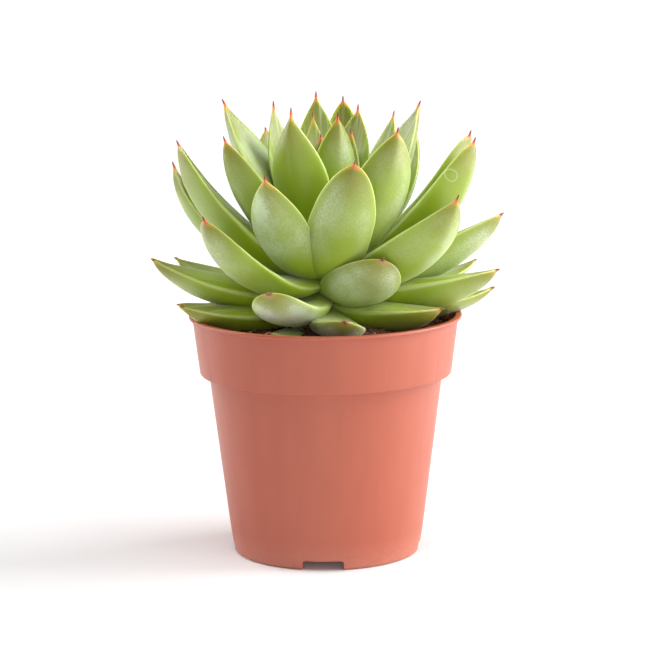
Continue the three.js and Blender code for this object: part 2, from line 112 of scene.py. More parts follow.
def quarter_sine(value: np.ndarray) -> np.ndarray:
    """A quarter of a sine wave that stays at its top: sin(90 degrees x min(value, 1))."""
    return np.sin(np.pi / 2 * np.minimum(value, 1))


def smooth(value: np.ndarray) -> np.ndarray:
    """Smooth step of a value that is first held between 0 and 1: 3t^2 - 2t^3."""
    held = np.clip(value, 0, 1)
    return held * held * (3 - 2 * held)


def lattice_noise(points: np.ndarray, cell: float, seed: int) -> np.ndarray:
    """Smooth noise between -1 and 1.

    Formula: random values on the corners of a cubic lattice, blended along each axis by
    the smooth step of the place inside the cell.

    Args:
        points: places, with x, y, z on the last axis.
        cell: size of a lattice cell, in the points' unit.
        seed: picks the random values.

    Returns:
        One value for each point.
    """
    side = 32
    table = np.random.default_rng(seed).uniform(-1, 1, (side, side, side))
    place = points / cell
    low = np.floor(place).astype(int)
    part = smooth(place - low)
    total = np.zeros(points.shape[:-1])
    for corner in np.ndindex(2, 2, 2):
        weight = np.prod(np.where(np.array(corner, bool), part, 1 - part), axis=-1)
        x, y, z = np.moveaxis((low + corner) % side, -1, 0)
        total += weight * table[x, y, z]
    return total


def fractal_noise(points: np.ndarray, cell: float, seed: int, octaves: int) -> np.ndarray:
    """Sum of lattice noises, each half as large and half as strong as the one before."""
    return sum(lattice_noise(points, cell / 2 ** i, seed + i) / 2 ** i for i in range(octaves))


def grid_quads(rows: int, columns: int, close_rows: bool = False) -> np.ndarray:
    """Quads of a grid of rings, numbered ring by ring.

    Args:
        rows: number of rings.
        columns: points on each ring.
        close_rows: whether the last ring also joins the first.

    Returns:
        Corner numbers, four to a face.
    """
    steps = rows if close_rows else rows - 1
    row, column = np.meshgrid(np.arange(steps), np.arange(columns), indexing="ij")
    after, beside = (row + 1) % rows, (column + 1) % columns
    corners = [row * columns + column, row * columns + beside,
               after * columns + beside, after * columns + column]
    return np.stack(corners, -1).reshape(-1, 4)


def end_fans(rows: int, columns: int) -> np.ndarray:
    """Triangles that close a grid of rings at both ends.

    Args:
        rows: number of rings.
        columns: points on each ring.

    Returns:
        Corner numbers. The start and the end point are numbered after the rings' own.
    """
    near = np.arange(columns)
    beside = (near + 1) % columns
    start, last = rows * columns, (rows - 1) * columns
    return np.concatenate([np.stack([np.full(columns, start), beside, near], -1),
                           np.stack([np.full(columns, start + 1), last + near, last + beside], -1)])


def repeated(faces: np.ndarray, count: int, points: int) -> list[list[int]]:
    """The faces of one shape for many copies of it, each with its own points."""
    shift = (np.arange(count) * points)[:, None, None]
    return (faces + shift).reshape(-1, faces.shape[1]).tolist()


def quarter_round(radius: float, height: float, size: float, start: float) -> np.ndarray:
    """Points of a quarter circle in a profile, from a start angle in degrees."""
    angle = np.radians(np.linspace(start, start + 90, 6))
    return np.stack([radius + size * np.cos(angle), height + size * np.sin(angle)], -1)


def between(start: Sequence[float], end: Sequence[float], steps: int) -> np.ndarray:
    """Points of a straight run in a profile, in even steps and without its ends."""
    return np.linspace(start, end, steps + 1)[1:-1]


@dataclass
class Shell:
    """A closed surface: its points in millimetres, its faces, and values held at its points."""

    points: np.ndarray
    faces: list[list[int]]
    fields: dict[str, np.ndarray] = field(default_factory=dict)

    def volume(self) -> float:
        """Signed volume: the sum over fan triangles of a . (b x c) / 6.

        Returns:
            Cubic millimetres, below 0 where the faces point inwards.
        """
        total = 0.0
        for count in (3, 4):
            picked = np.array([f for f in self.faces if len(f) == count], int).reshape(-1, count)
            for k in range(1, count - 1):
                a, b, c = (self.points[picked[:, i]] for i in (0, k, k + 1))
                total += float(np.einsum("ij,ij->", a, np.cross(b, c))) / 6
        return total

    def facing_out(self) -> "Shell":
        """The same surface with its faces turned outwards."""
        faces = [face[::-1] for face in self.faces] if self.volume() < 0 else self.faces
        return Shell(self.points, faces, self.fields)

    def joined(self, other: "Shell") -> "Shell":
        """This surface and another as one.

        Args:
            other: the other, with the same fields.

        Returns:
            A new surface.
        """
        shift = len(self.points)
        faces = self.faces + [[corner + shift for corner in face] for face in other.faces]
        fields = {key: np.concatenate([value, other.fields[key]]) for key, value in self.fields.items()}
        return Shell(np.concatenate([self.points, other.points]), faces, fields)

    def to_object(self, name: str, merge: float = 0.0, faceted: bool = False) -> Piece:
        """Make a mesh object at the origin.

        Args:
            name: the piece's name.
            merge: points nearer than this, in millimetres, become one.
            faceted: whether its faces are shaded flat.

        Returns:
            The object, linked to the scene.
        """
        mesh = bpy.data.meshes.new(name)
        mesh.from_pydata((self.points * MM).tolist(), [], self.faces)
        for key, value in self.fields.items():
            kind, slot = ("FLOAT_VECTOR", "vector") if value.ndim == 2 else ("FLOAT", "value")
            data = mesh.attributes.new(key, kind, "POINT").data
            data.foreach_set(slot, value.astype(np.float32).ravel())
        if merge:
            work = bmesh.new()
            work.from_mesh(mesh)
            bmesh.ops.remove_doubles(work, verts=work.verts, dist=merge * MM)
            bmesh.ops.dissolve_degenerate(work, edges=work.edges, dist=merge * MM)
            work.to_mesh(mesh)
            work.free()
        mesh.polygons.foreach_set("use_smooth", np.full(len(mesh.polygons), not faceted))
        mesh.update()
        piece = bpy.data.objects.new(name, mesh)
        bpy.context.scene.collection.objects.link(piece)
        return piece


def revolve(profile: np.ndarray, turns: np.ndarray, closed: bool = False) -> Shell:
    """Carry a profile round the axis.

    Formula: the point for profile (radius, height) and a turn is radius times the outward
    vector of the turn, at that height. A profile that isn't closed starts and ends on the
    axis, where a fan of triangles meets one point.

    Args:
        profile: radii and heights, one row each.
        turns: the turns in degrees, each once.
        closed: whether the profile is a loop that never meets the axis.

    Returns:
        The closed surface, facing outwards.
    """
    rings = profile if closed else profile[1:-1]
    points = rings[:, None, :1] * outward(turns)[None]
    points[..., 2] = rings[:, 1:]
    points = points.reshape(-1, 3)
    faces = grid_quads(len(rings), len(turns), closed).tolist()
    if not closed:
        faces += end_fans(len(rings), len(turns)).tolist()
        points = np.concatenate([points, [[0, 0, profile[0, 1]], [0, 0, profile[-1, 1]]]])
    return Shell(points, faces).facing_out()


def disc(radius: float, low: float, high: float, centre: Sequence[float] = (0, 0),
         sides: int = 40) -> Shell:
    """A plain round disc: a revolved rectangle, moved to its centre.

    Args:
        radius: its radius.
        low: height of its underside.
        high: height of its top.
        centre: x and y of its axis.
        sides: points round it.

    Returns:
        The closed surface, facing outwards.
    """
    profile = np.array([[0, low], [radius, low], [radius, high], [0, high]], float)
    shell = revolve(profile, even_turns(sides))
    shell.points[:, :2] += centre
    return shell


def tubes(paths: np.ndarray, radius: np.ndarray, sides: int = 5) -> Shell:
    """Thin round strands along many paths at once.

    Formula: at each path point two directions square to the path are found, and the ring is
    the point plus radius (cos a, sin a) in them. Both ends close in a point.

    Args:
        paths: strands, points along each, and x, y, z.
        radius: one radius for each strand, in millimetres.
        sides: points round a strand.

    Returns:
        All the strands as one surface.
    """
    count, steps, _ = paths.shape
    along = np.gradient(paths, axis=1)
    along /= np.linalg.norm(along, axis=-1, keepdims=True)
    helper = np.where(np.abs(along[..., 2:]) > 0.9, [1.0, 0, 0], [0, 0, 1.0])
    first = np.cross(along, helper)
    first /= np.linalg.norm(first, axis=-1, keepdims=True)
    second = np.cross(along, first)
    angle = np.linspace(0, 2 * np.pi, sides, endpoint=False)[:, None]
    taper = np.sqrt(np.clip(np.sin(np.linspace(0.12, np.pi - 0.12, steps)), 0, 1))
    size = (radius[:, None] * taper)[..., None, None]
    ring = np.cos(angle) * first[:, :, None] + np.sin(angle) * second[:, :, None]
    rings = (paths[:, :, None] + size * ring).reshape(count, -1, 3)
    points = np.concatenate([rings, paths[:, :1], paths[:, -1:]], 1)
    quads, fans = (repeated(faces, count, points.shape[1])
                   for faces in (grid_quads(steps, sides), end_fans(steps, sides)))
    return Shell(points.reshape(-1, 3), quads + fans).facing_out()


def add_node(tree: bpy.types.NodeTree, kind: str, inputs: dict[Any, Any] | Sequence[Any] = (),
             output: int | str = 0, **settings: Any) -> Socket | None:
    """Add a node to a tree, with its settings, values and links.

    Args:
        tree: the tree that gets it.
        kind: the node's type name, without "ShaderNode".
        inputs: for each input, by name or in order, a value, a hex colour or another
            node's output.
        output: the output that is wanted.
        **settings: the node's own properties.

    Returns:
        That output, or None for a node that has none.
    """
    node = tree.nodes.new("ShaderNode" + kind)
    for key, value in settings.items():
        setattr(node, key, value)
    for key, value in inputs.items() if isinstance(inputs, dict) else enumerate(inputs):
        if isinstance(value, Socket):
            tree.links.new(value, node.inputs[key])
        else:
            node.inputs[key].default_value = linear(value) if isinstance(value, str) else value
    return node.outputs[output] if node.outputs else None


def dress(piece: Piece, material: bpy.types.Material, slot: str, *nodes: str) -> Piece:
    """Give a piece its material, and let it stand for CAD nodes on the one body.

    Args:
        piece: the piece.
        material: its only material.
        slot: the record's material slot; not used.
        *nodes: the CAD nodes that it replaces, if any.

    Returns:
        The same piece.
    """
    piece.data.materials.clear()
    piece.data.materials.append(material)
    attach(piece, BODY)
    if nodes:
        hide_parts(*nodes)
    return piece


# ---------------------------------------------------------------- finishes


# Settings of a mix node that lays one colour over another, and of a smooth ramp.
COLOUR_OVER = {"output": 2, "data_type": "RGBA", "clamp_factor": True}
SMOOTH = {"interpolation_type": "SMOOTHSTEP"}


class Finish(ABC):
    """What every finish shares: a material whose shader reads the inputs of its skin."""

    @abstractmethod
    def skin(self, add: Callable[..., Socket]) -> dict[str, Any]:
        """The shader's inputs, where add adds a node to the material."""

    def material(self, name: str) -> bpy.types.Material:
        """Make the material.

        Args:
            name: what the real material is and how its surface was made.

        Returns:
            The node material.
        """
        material = bpy.data.materials.new(name)
        material.use_nodes = True
        material.node_tree.nodes.clear()
        add = partial(add_node, material.node_tree)
        add("OutputMaterial", [add("BsdfPrincipled", self.skin(add))])
        return material


@dataclass(frozen=True)
class MouldedPolypropylene(Finish):
    """Terracotta-coloured polypropylene, injection moulded in a lightly blasted mould.

    It gives a satin skin with broad soft reflections, faint upright flow marks, a slight
    waxy depth, and dull scuffs by the foot, where the pot is slid and stood.
    """

    body: str = "B4573B"
    flow_tint: str = "A54930"
    dust: str = "D9A08C"
    roughness: float = 0.42
    ior: float = 1.49
    flow_width_mm: float = 9.0
    flow_drawn: float = 0.16
    grain_mm: float = 0.55
    grain_depth_mm: float = 0.08
    scuff_mm: float = 2.2
    scuff_height_mm: float = 12.0

    def skin(self, add: Callable[..., Socket]) -> dict[str, Any]:
        """Flow marks drawn upright, grain, and scuffs that fade above the foot.

        Args:
            add: adds a node to the material.

        Returns:
            The shader's inputs.
        """
        place = add("TexCoord", output="Object")
        upright = add("VectorMath", [place, (1.0, 1.0, self.flow_drawn)], operation="MULTIPLY")
        flow, grain, scuffs = (
            add("TexNoise", {"Vector": where, "Scale": 1 / (size * MM), "Detail": detail,
                             "Roughness": rough})
            for where, size, detail, rough in ((upright, self.flow_width_mm, 3.0, 0.5),
                                               (place, self.grain_mm, 2.0, 0.6),
                                               (place, self.scuff_mm, 4.0, 0.7)))
        height = add("SeparateXYZ", [place], output="Z")
        near_foot = add("MapRange", [height, 0.0, self.scuff_height_mm * MM, 0.4, 0.0])
        scuffed = add("Math", [scuffs, near_foot], operation="MULTIPLY")
        flowed = add("MapRange", [flow, 0.4, 0.75, 0.0, 0.28])
        colour = self.body
        for amount, over in ((flowed, self.flow_tint), (scuffed, self.dust)):
            colour = add("Mix", {0: amount, 6: colour, 7: over}, **COLOUR_OVER)
        rough = add("MapRange", [flow, 0.3, 0.7, self.roughness - 0.03, self.roughness + 0.04])
        bump = add("Bump", {"Height": grain, "Strength": 0.12, "Distance": self.grain_depth_mm * MM})
        return {"Base Color": colour, "Roughness": rough, "Normal": bump, "IOR": self.ior,
                "Specular IOR Level": 0.75, "Subsurface Weight": 0.12, "Subsurface Scale": 1.2 * MM,
                "Subsurface Radius": (1.0, 0.45, 0.3)}


@dataclass(frozen=True)
class LeafSkin(Finish):
    """Living leaf skin with a wax bloom, over watery flesh.

    It gives a soft yellow-green that glows at thin edges, a paler base that is partly a painted
    glow of light through the leaves, a dull grey-green bloom that is patchy, finely speckled
    and partly a painted highlight, pale margins, and a tip that runs from orange-red to the
    near-black of its hard spine.
    """

    flesh_outer: str = "91A71B"
    flesh_inner: str = "A0B52A"
    # Paler leaf base: partly its own colour, partly a painted glow of light passing through the rosette.
    flesh_base_and_glow: str = "B6C822"
    olive: str = "827C16"
    bloom: str = "CEDABA"
    margin: str = "DDE6AC"
    amber: str = "D79A48"
    blush: str = "DA4433"
    spine: str = "7E1737"
    spine_end: str = "36081F"
    dry_spine: str = "7A4636"
    dry: str = "CF9377"
    water_mark: str = "D5DEB8"
    sheen: str = "EEF4DC"
    roughness: float = 0.40
    ior: float = 1.45
    glow_depth_mm: float = 5.0
    bloom_patch_mm: float = 16.0
    speckle_mm: float = 0.6
    streak_mm: float = 1.3
    streak_drawn: float = 0.05
    mark_radius_mm: float = 2.4
    dry_shrink_mm: float = 1.6

    def skin(self, add: Callable[..., Socket]) -> dict[str, Any]:
        """Colours laid over each other by the values that each leaf holds at its points.

        Args:
            add: adds a node to the material.

        Returns:
            The shader's inputs.
        """
        inner, margin_mm, tip_mm, along, bloom_highlight_amount, dry, pale_edge = (
            add("Attribute", output="Fac", attribute_name=key)
            for key in ("inner_face", "margin_mm", "tip_mm", "along", "bloom", "dry", "pale_edge"))
        place, mark = (add("Attribute", output="Vector", attribute_name=key)
                       for key in ("leaf_place", "mark_place"))

        # Noises in millimetres on the leaf: patches of bloom, fine speckle, and long streaks.
        drawn_out = add("VectorMath", [place, (1.0, self.streak_drawn, 1.0)], operation="MULTIPLY")
        patch, speckle, streak = (
            add("TexNoise", {"Vector": where, "Scale": 1 / size, "Detail": detail, "Roughness": rough})
            for where, size, detail, rough in ((place, self.bloom_patch_mm, 2.0, 0.45),
                                               (place, self.speckle_mm, 2.0, 0.7),
                                               (drawn_out, self.streak_mm, 3.0, 0.6)))

        # Bloom, raised by each leaf's amount as a painted highlight on flanks towards the side lights
        # and lowered as painted shade elsewhere: thick in the middle of a face, thin by its margins,
        # base and tip, where it rubs off; patchy, and broken by speckle.
        for source, low, high, least, most in (
                (margin_mm, 0.6, 4.5, 0.3, 1.0), (along, 0.22, 0.6, 0.15, 1.0),
                (tip_mm, 4.0, 15.0, 0.15, 1.0), (patch, 0.36, 0.6, 0.5, 1.15),
                (speckle, 0.36, 0.64, 0.6, 1.4)):
            factor = add("MapRange", [source, low, high, least, most], **SMOOTH)
            bloom_highlight_amount = add("Math", [bloom_highlight_amount, factor], operation="MULTIPLY")

        # Long pale streaks on the inner face, where the leaf was folded in the bud, and a
        # pale line along the margins.
        streaked = add("MapRange", [streak, 0.5, 0.72, 0.0, 0.6])
        edged = add("MapRange", [margin_mm, 0.05, 0.36, 1.0, 0.0], **SMOOTH)
        streaked, edged = (add("Math", pair, operation="MULTIPLY")
                           for pair in ((streaked, inner), (edged, pale_edge)))

        # A dried drop of water leaves a thin pale ring.
        reach = add("VectorMath", [place, mark], output="Value", operation="DISTANCE")
        off_ring = add("Math", [reach, self.mark_radius_mm], operation="SUBTRACT")
        off_ring = add("Math", [off_ring], operation="ABSOLUTE")
        ring = add("MapRange", [off_ring, 0.1, 0.35, 0.35, 0.0])

        # Tip: amber that reaches further down the margins, red blush, then the spine. On old
        # leaves it has dried to a small pinkish brown spot.
        wander = add("Math", [patch, 3.0, -1.5], operation="MULTIPLY_ADD")
        tip_place = add("Math", [tip_mm, wander], operation="ADD")
        tip_place = add("Math", [dry, self.dry_shrink_mm, tip_place], operation="MULTIPLY_ADD")
        amber_reach = add("MapRange", [margin_mm, 0.2, 2.5, 11.0, 5.5])
        amber_share = add("Math", [tip_place, amber_reach], operation="DIVIDE")
        fresh = add("MapRange", [dry, 0.0, 1.0, 0.55, 0.15])
        spine_end = add("MapRange", [tip_mm, 0.5, 2.0, 1.0, 0.0])
        # The base ramp lays the paler base colour: partly its own, partly a painted glow of light through
        # the leaves.
        base_and_glow, olived, ambered, blushed, spined = (
            add("MapRange", ramp, **SMOOTH)
            for ramp in ((along, 0.55, 0.1, 0.0, 0.6), (tip_mm, 28.0, 4.0, 0.0, 0.8),
                         (amber_share, 0.2, 1.0, fresh, 0.0), (tip_place, 1.8, 5.0, 0.95, 0.0),
                         (tip_mm, 1.4, 3.0, 1.0, 0.0)))
        tip_colour = add("Mix", {0: dry, 6: self.blush, 7: self.dry}, **COLOUR_OVER)
        spine_colour = self.spine
        for amount, over in ((spine_end, self.spine_end), (dry, self.dry_spine)):
            spine_colour = add("Mix", {0: amount, 6: spine_colour, 7: over}, **COLOUR_OVER)

        # From the flesh outwards, each colour over the one before.
        colour = self.flesh_outer
        for amount, over in ((inner, self.flesh_inner), (base_and_glow, self.flesh_base_and_glow), (olived, self.olive),
                             (bloom_highlight_amount, self.bloom), (streaked, self.bloom), (ring, self.water_mark),
                             (edged, self.margin), (ambered, self.amber), (blushed, tip_colour),
                             (spined, spine_colour)):
            colour = add("Mix", {0: amount, 6: colour, 7: over}, **COLOUR_OVER)
        rough = add("MapRange", [bloom_highlight_amount, 0.0, 1.0, self.roughness, self.roughness + 0.16])
        relief = add("Math", [streak, 0.6, speckle], operation="MULTIPLY_ADD")
        bump = add("Bump", {"Height": relief, "Strength": 0.18, "Distance": 0.12 * MM})
        return {"Base Color": colour, "Roughness": rough, "Normal": bump, "IOR": self.ior,
                "Subsurface Weight": 0.75, "Subsurface Scale": self.glow_depth_mm * MM,
                "Subsurface Radius": (0.8, 1.0, 0.06), "Specular IOR Level": 0.75,
                "Sheen Weight": 0.3, "Sheen Roughness": 0.3, "Sheen Tint": self.sheen}


@dataclass(frozen=True)
class PeatCompost(Finish):
    """Milled peat compost, damp below and dry on top.

    It gives a dark red-brown that breaks into crumbs, with paler dry specks and no shine.
    """

    damp: str = "3C241D"
    dry: str = "875745"
    speck: str = "DDB590"
    clump_mm: float = 3.2
    crumb_mm: float = 0.9
    crumb_depth_mm: float = 0.5

    def skin(self, add: Callable[..., Socket]) -> dict[str, Any]:
        """Clumps, crumbs, and dry specks where a piece's own tint is high.

        Args:
            add: adds a node to the material.

        Returns:
            The shader's inputs.
        """
        place = add("TexCoord", output="Object")
        tint = add("Attribute", output="Fac", attribute_name="tint")
        clump = add("TexNoise", {"Vector": place, "Scale": 1 / (self.clump_mm * MM), "Detail": 5.0,
                                 "Roughness": 0.7})
        crumb = add("TexVoronoi", {"Vector": place, "Scale": 1 / (self.crumb_mm * MM)})
        mixed = add("Math", [clump, tint], operation="ADD")
        colour = self.damp
        for low, high, most, over in ((0.35, 0.8, 1.0, self.dry), (0.88, 1.15, 0.9, self.speck)):
            amount = add("MapRange", [mixed, low, high, 0.0, most])
            colour = add("Mix", {0: amount, 6: colour, 7: over}, **COLOUR_OVER)
        bump = add("Bump", {"Height": crumb, "Strength": 0.6, "Distance": self.crumb_depth_mm * MM})
        return {"Base Color": colour, "Roughness": 0.93, "Normal": bump, "IOR": 1.4}


@dataclass(frozen=True)
class StemBark(Finish):
    """Green stem that is turning corky. It gives a matt buff-green skin with fine fissures."""

    green: str = "94A25C"
    cork: str = "8A7350"
    fissure_mm: float = 1.4
    fissure_depth_mm: float = 0.3

    def skin(self, add: Callable[..., Socket]) -> dict[str, Any]:
        """Cork that spreads over green in fine rings.

        Args:
            add: adds a node to the material.

        Returns:
            The shader's inputs.
        """
        rings = add("VectorMath", [add("TexCoord", output="Object"), (0.4, 0.4, 1.0)], operation="MULTIPLY")
        fissure = add("TexNoise", {"Vector": rings, "Scale": 1 / (self.fissure_mm * MM), "Detail": 4.0})
        colour = add("Mix", {0: fissure, 6: self.green, 7: self.cork}, **COLOUR_OVER)
        bump = add("Bump", {"Height": fissure, "Strength": 0.4, "Distance": self.fissure_depth_mm * MM})
        return {"Base Color": colour, "Roughness": 0.7, "Normal": bump, "IOR": 1.4}


@dataclass(frozen=True)
class LightTable(Finish):
    """White acrylic table lit from below, dimmer where the plant stands.

    It gives a pale floor with a faint soft shadow that stays white into the distance.
    """

    white: str = "F4F4F4"
    near_glow: float = 0.04
    far_glow: float = 0.9
    near_m: float = 0.35
    far_m: float = 1.5

    def skin(self, add: Callable[..., Socket]) -> dict[str, Any]:
        """Matt white with a light of its own that grows with distance.

        Args:
            add: adds a node to the material.

        Returns:
            The shader's inputs.
        """
        away = add("VectorMath", [add("TexCoord", output="Object")], output="Value", operation="LENGTH")
        glow = add("MapRange", [away, self.near_m, self.far_m, self.near_glow, self.far_glow])
        return {"Base Color": self.white, "Roughness": 0.7, "Emission Color": "FFFFFF",
                "Emission Strength": glow}


# ---------------------------------------------------------------- pot


@dataclass
class NurseryPot:
    """A 12 cm nursery pot: notched foot, tapered body, collar, rolled lip and drained plate."""

    height: float = 105.9
    lip_radius: float = 60.0
    lip_depth: float = 1.5
    collar_top_radius: float = 58.4
    collar_foot_radius: float = 55.4
    collar_foot_height: float = 79.9
    body_top_radius: float = 51.4
    foot_radius: float = 41.4
    wall: float = 1.2
    edge_round: float = 0.7
    foot_round: float = 1.8
    foot_ring_width: float = 3.0
    foot_band: float = 12.0
    plate_underside: float = 4.5
    plate_thickness: float = 1.4
    plate_lap: float = 0.4
    plate_sink: float = 0.12
    plate_sink_width: float = 0.8
    notch_count: int = 4
    notch_width: float = 18.0
    notch_height: float = 4.2
    notch_corner: float = 1.3
    notch_turn: float = -2.5
    drain_radius: float = 3.5
    drain_count: int = 8
    drain_ring: float = 27.0
    rib_count: int = 12
    rib_thickness: float = 1.2
    rib_depth: float = 2.6
    rib_top_depth: float = 0.2
    rib_height: float = 11.0
    rib_turn: float = -2.0
    rib_columns: tuple[float, ...] = (0.1, 0.3, 0.55, 0.85, 1.2, 1.7, 2.4)
    sink_depth: float = 0.06
    sink_width: float = 0.75
    even_columns: int = 240
    crease: float = 38.0
    finish: MouldedPolypropylene = MouldedPolypropylene()

    def body_radius(self, height: float) -> float:
        """Outer radius of the body at a height: straight from foot to collar."""
        return blend(self.foot_radius, self.body_top_radius, height / self.collar_foot_height)

    def collar_inner_radius(self, height: float) -> float:
        """Inner radius of the collar at a height: its outer taper less the wall."""
        rise = self.height - self.lip_depth - self.collar_foot_height
        return blend(self.collar_foot_radius, self.collar_top_radius,
                     (height - self.collar_foot_height) / rise) - self.wall

    def rib_turns(self) -> np.ndarray:
        """Turns of the stacking ribs."""
        return even_turns(self.rib_count, self.rib_turn)

    def wall_profile(self) -> np.ndarray:
        """The wall's section as a closed loop, up the outside first.

        Formula: straight runs sampled evenly, joined by quarter rounds, with a shallow ring
        where the plate behind the wall has sunk as it cooled.

        Returns:
            Radii and heights, one row each.
        """
        edge, foot, band = self.edge_round, self.foot_round, self.foot_band
        collar_foot, lip_under = self.collar_foot_height, self.height - self.lip_depth
        shoulder = collar_foot + self.wall
        shoulder_radius = self.collar_inner_radius(shoulder)
        plate_top = self.plate_underside + self.plate_thickness
        ledge = plate_top - self.plate_lap
        ring_inner = self.foot_radius - self.foot_ring_width
        inner_top = self.collar_inner_radius(lip_under)
        parts = [
            [(ring_inner, 0.0)],
            quarter_round(self.foot_radius - foot, foot, foot, -90),
            between((self.foot_radius, foot), (self.body_radius(band), band), 16),
            between((self.body_radius(band), band), (self.body_top_radius, collar_foot), 18),
            [(self.body_top_radius, collar_foot)],
            quarter_round(self.collar_foot_radius - edge, collar_foot + edge, edge, -90),
            between((self.collar_foot_radius, collar_foot + edge), (self.collar_top_radius, lip_under), 22),
            [(self.collar_top_radius, lip_under)],
            quarter_round(self.lip_radius - edge, lip_under + edge, edge, -90),
            quarter_round(self.lip_radius - edge, self.height - edge, edge, 0),
            quarter_round(inner_top + edge, self.height - edge, edge, 90),
            between((inner_top, self.height - edge), (shoulder_radius, shoulder), 8),
            [(shoulder_radius, shoulder), (self.body_top_radius - self.wall, shoulder),
             (self.body_radius(plate_top) - self.wall, ledge), (ring_inner, ledge)],
        ]
        profile = np.concatenate([np.asarray(part, float) for part in parts])
        radius, height = profile.T
        from_plate = (height - self.plate_underside - self.plate_thickness / 2) / self.plate_sink_width
        outside = (radius > self.foot_radius - 0.01) & (height < band)
        profile[:, 0] -= np.where(outside, self.plate_sink * np.exp(-from_plate ** 2), 0)
        return profile

    def columns(self) -> tuple[np.ndarray, np.ndarray]:
        """The wall's columns: even ones, more by each rib, and those that outline a notch.

        Formula: across a notch the lift is its height, less what the rounded upper corners
        take; past its sides the lift drops to the floor in a few steps.

        Returns:
            The turn of each column, and how far a notch lifts the foot there.
        """
        half, corner = self.notch_width / 2, self.notch_corner
        bend = np.linspace(0, np.pi / 2, 7)
        side = np.stack([half - corner + corner * np.sin(bend),
                         self.notch_height - corner + corner * np.cos(bend)], -1)
        toe = [(half + 0.001, 0.9), (half + 0.1, 0.45), (half + 0.35, 0.12), (half + 0.8, 0.0)]
        right = np.concatenate([[(half / 2, self.notch_height)], side, toe])
        both = np.concatenate([right[::-1] * [-1, 1], [(0, self.notch_height)], right])
        notch = np.stack([np.degrees(np.arcsin(both[:, 0] / self.foot_radius)), both[:, 1]], -1)
        centres = even_turns(self.notch_count, self.notch_turn)
        spread = np.concatenate([np.negative(self.rib_columns), self.rib_columns])
        by_rib = (self.rib_turns()[:, None] + spread).ravel()
        others = np.concatenate([even_turns(self.even_columns, 0.2), by_rib])
        others = others[turns_apart(others, centres) > notch[:, 0].max() + 0.4]
        rows = np.concatenate([np.stack([others, np.zeros_like(others)], -1),
                               *(notch + [centre, 0] for centre in centres)])
        rows[:, 0] = (rows[:, 0] + 180) % 360 - 180
        turns, lift = rows[np.argsort(rows[:, 0], kind="stable")].T
        return turns, lift

    def wall_shell(self) -> Shell:
        """The wall carried round the axis, with notches and the sink marks of the ribs.

        Formula: in a notch every point of the foot is raised to the lift. On the collar's
        lower half the radius dips by a bell curve of the distance from each rib.

        Returns:
            The surface.
        """
        profile = self.wall_profile()
        turns, lift = self.columns()
        shell = revolve(profile, turns, closed=True)
        points = shell.points.reshape(len(profile), len(turns), 3)
        low = profile[:, 1] < self.notch_height
        points[low, :, 2] = np.maximum(points[low, :, 2], lift)
        radius, height = profile[:, :1], profile[:, 1:]
        from_rib = np.radians(turns_apart(turns, self.rib_turns())) * self.collar_foot_radius
        on_collar = (radius > self.collar_foot_radius - 0.3) & (height > self.collar_foot_height)
        fade = smooth((self.collar_foot_height + self.rib_height + 2 - height) / 5)
        dip = np.where(on_collar, fade, 0) * self.sink_depth * np.exp(-(from_rib / self.sink_width) ** 2)
        points[..., :2] *= (1 - dip / radius)[..., None]
        return Shell(points.reshape(-1, 3), shell.faces).facing_out()

    def rib_shell(self) -> Shell:
        """The stacking ribs: upright wedges between the shoulder and the collar's wall.

        Returns:
            All the ribs as one surface.
        """
        base = self.collar_foot_height + self.wall / 2
        top = self.collar_foot_height + self.wall + self.rib_height
        low, high = self.collar_inner_radius(base), self.collar_inner_radius(top)
        section = np.array([[low + self.wall / 2, base], [high + self.wall / 2, top],
                            [high - self.rib_top_depth, top], [low - self.rib_depth, base]])
        out = outward(self.rib_turns())
        corners = section[:, :1] * out[:, None] + section[:, 1:] * UPRIGHT
        aside = self.rib_thickness / 2 * quarter_on(out)[:, None]
        points = np.concatenate([corners - aside, corners + aside], 1)
        faces = np.array([[0, 1, 2, 3], [7, 6, 5, 4], [0, 4, 5, 1],
                          [1, 5, 6, 2], [2, 6, 7, 3], [3, 7, 4, 0]])
        return Shell(points.reshape(-1, 3), repeated(faces, self.rib_count, 8)).facing_out()

    def plate(self) -> Piece:
        """The bottom plate: a disc with one drainage hole in its middle and a ring of others.

        Returns:
            The plate, not yet dressed.
        """
        low, high = self.plate_underside, self.plate_underside + self.plate_thickness
        radius = self.foot_radius - self.foot_ring_width + 1
        plate = disc(radius, low, high, sides=96).to_object("pot_plate", faceted=True)
        drill = disc(self.drain_radius, low - 1, high + 1)
        for out in outward(even_turns(self.drain_count, 180 / self.drain_count)):
            drill = drill.joined(disc(self.drain_radius, low - 1, high + 1, self.drain_ring * out[:2]))
        cutter = drill.to_object("pot_drill", faceted=True)
        modifier = plate.modifiers.new("drains", "BOOLEAN")
        modifier.object, modifier.operation, modifier.solver = cutter, "DIFFERENCE", "EXACT"
        ready = bpy.data.meshes.new_from_object(plate.evaluated_get(bpy.context.evaluated_depsgraph_get()))
        plate.modifiers.clear()
        plate.data = ready
        bpy.data.objects.remove(cutter)
        return plate

    def build(self) -> list[Piece]:
        """Build the pot as one moulding and let it stand for the CAD pot.

        Returns:
            The one piece.
        """
        pot = self.wall_shell().to_object("pot_moulding", merge=0.0005)
        parts = [self.plate(), self.rib_shell().to_object("pot_ribs", faceted=True)]
        work = bmesh.new()
        for part in (pot, *parts):
            work.from_mesh(part.data)
        work.to_mesh(pot.data)
        work.free()
        for part in parts:
            bpy.data.objects.remove(part)
        pot.data.set_sharp_from_angle(angle=math.radians(self.crease))
        return [dress(pot, self.finish.material("polypropylene injection moulded"), "pot", "pot")]


# ---------------------------------------------------------------- soil and stem


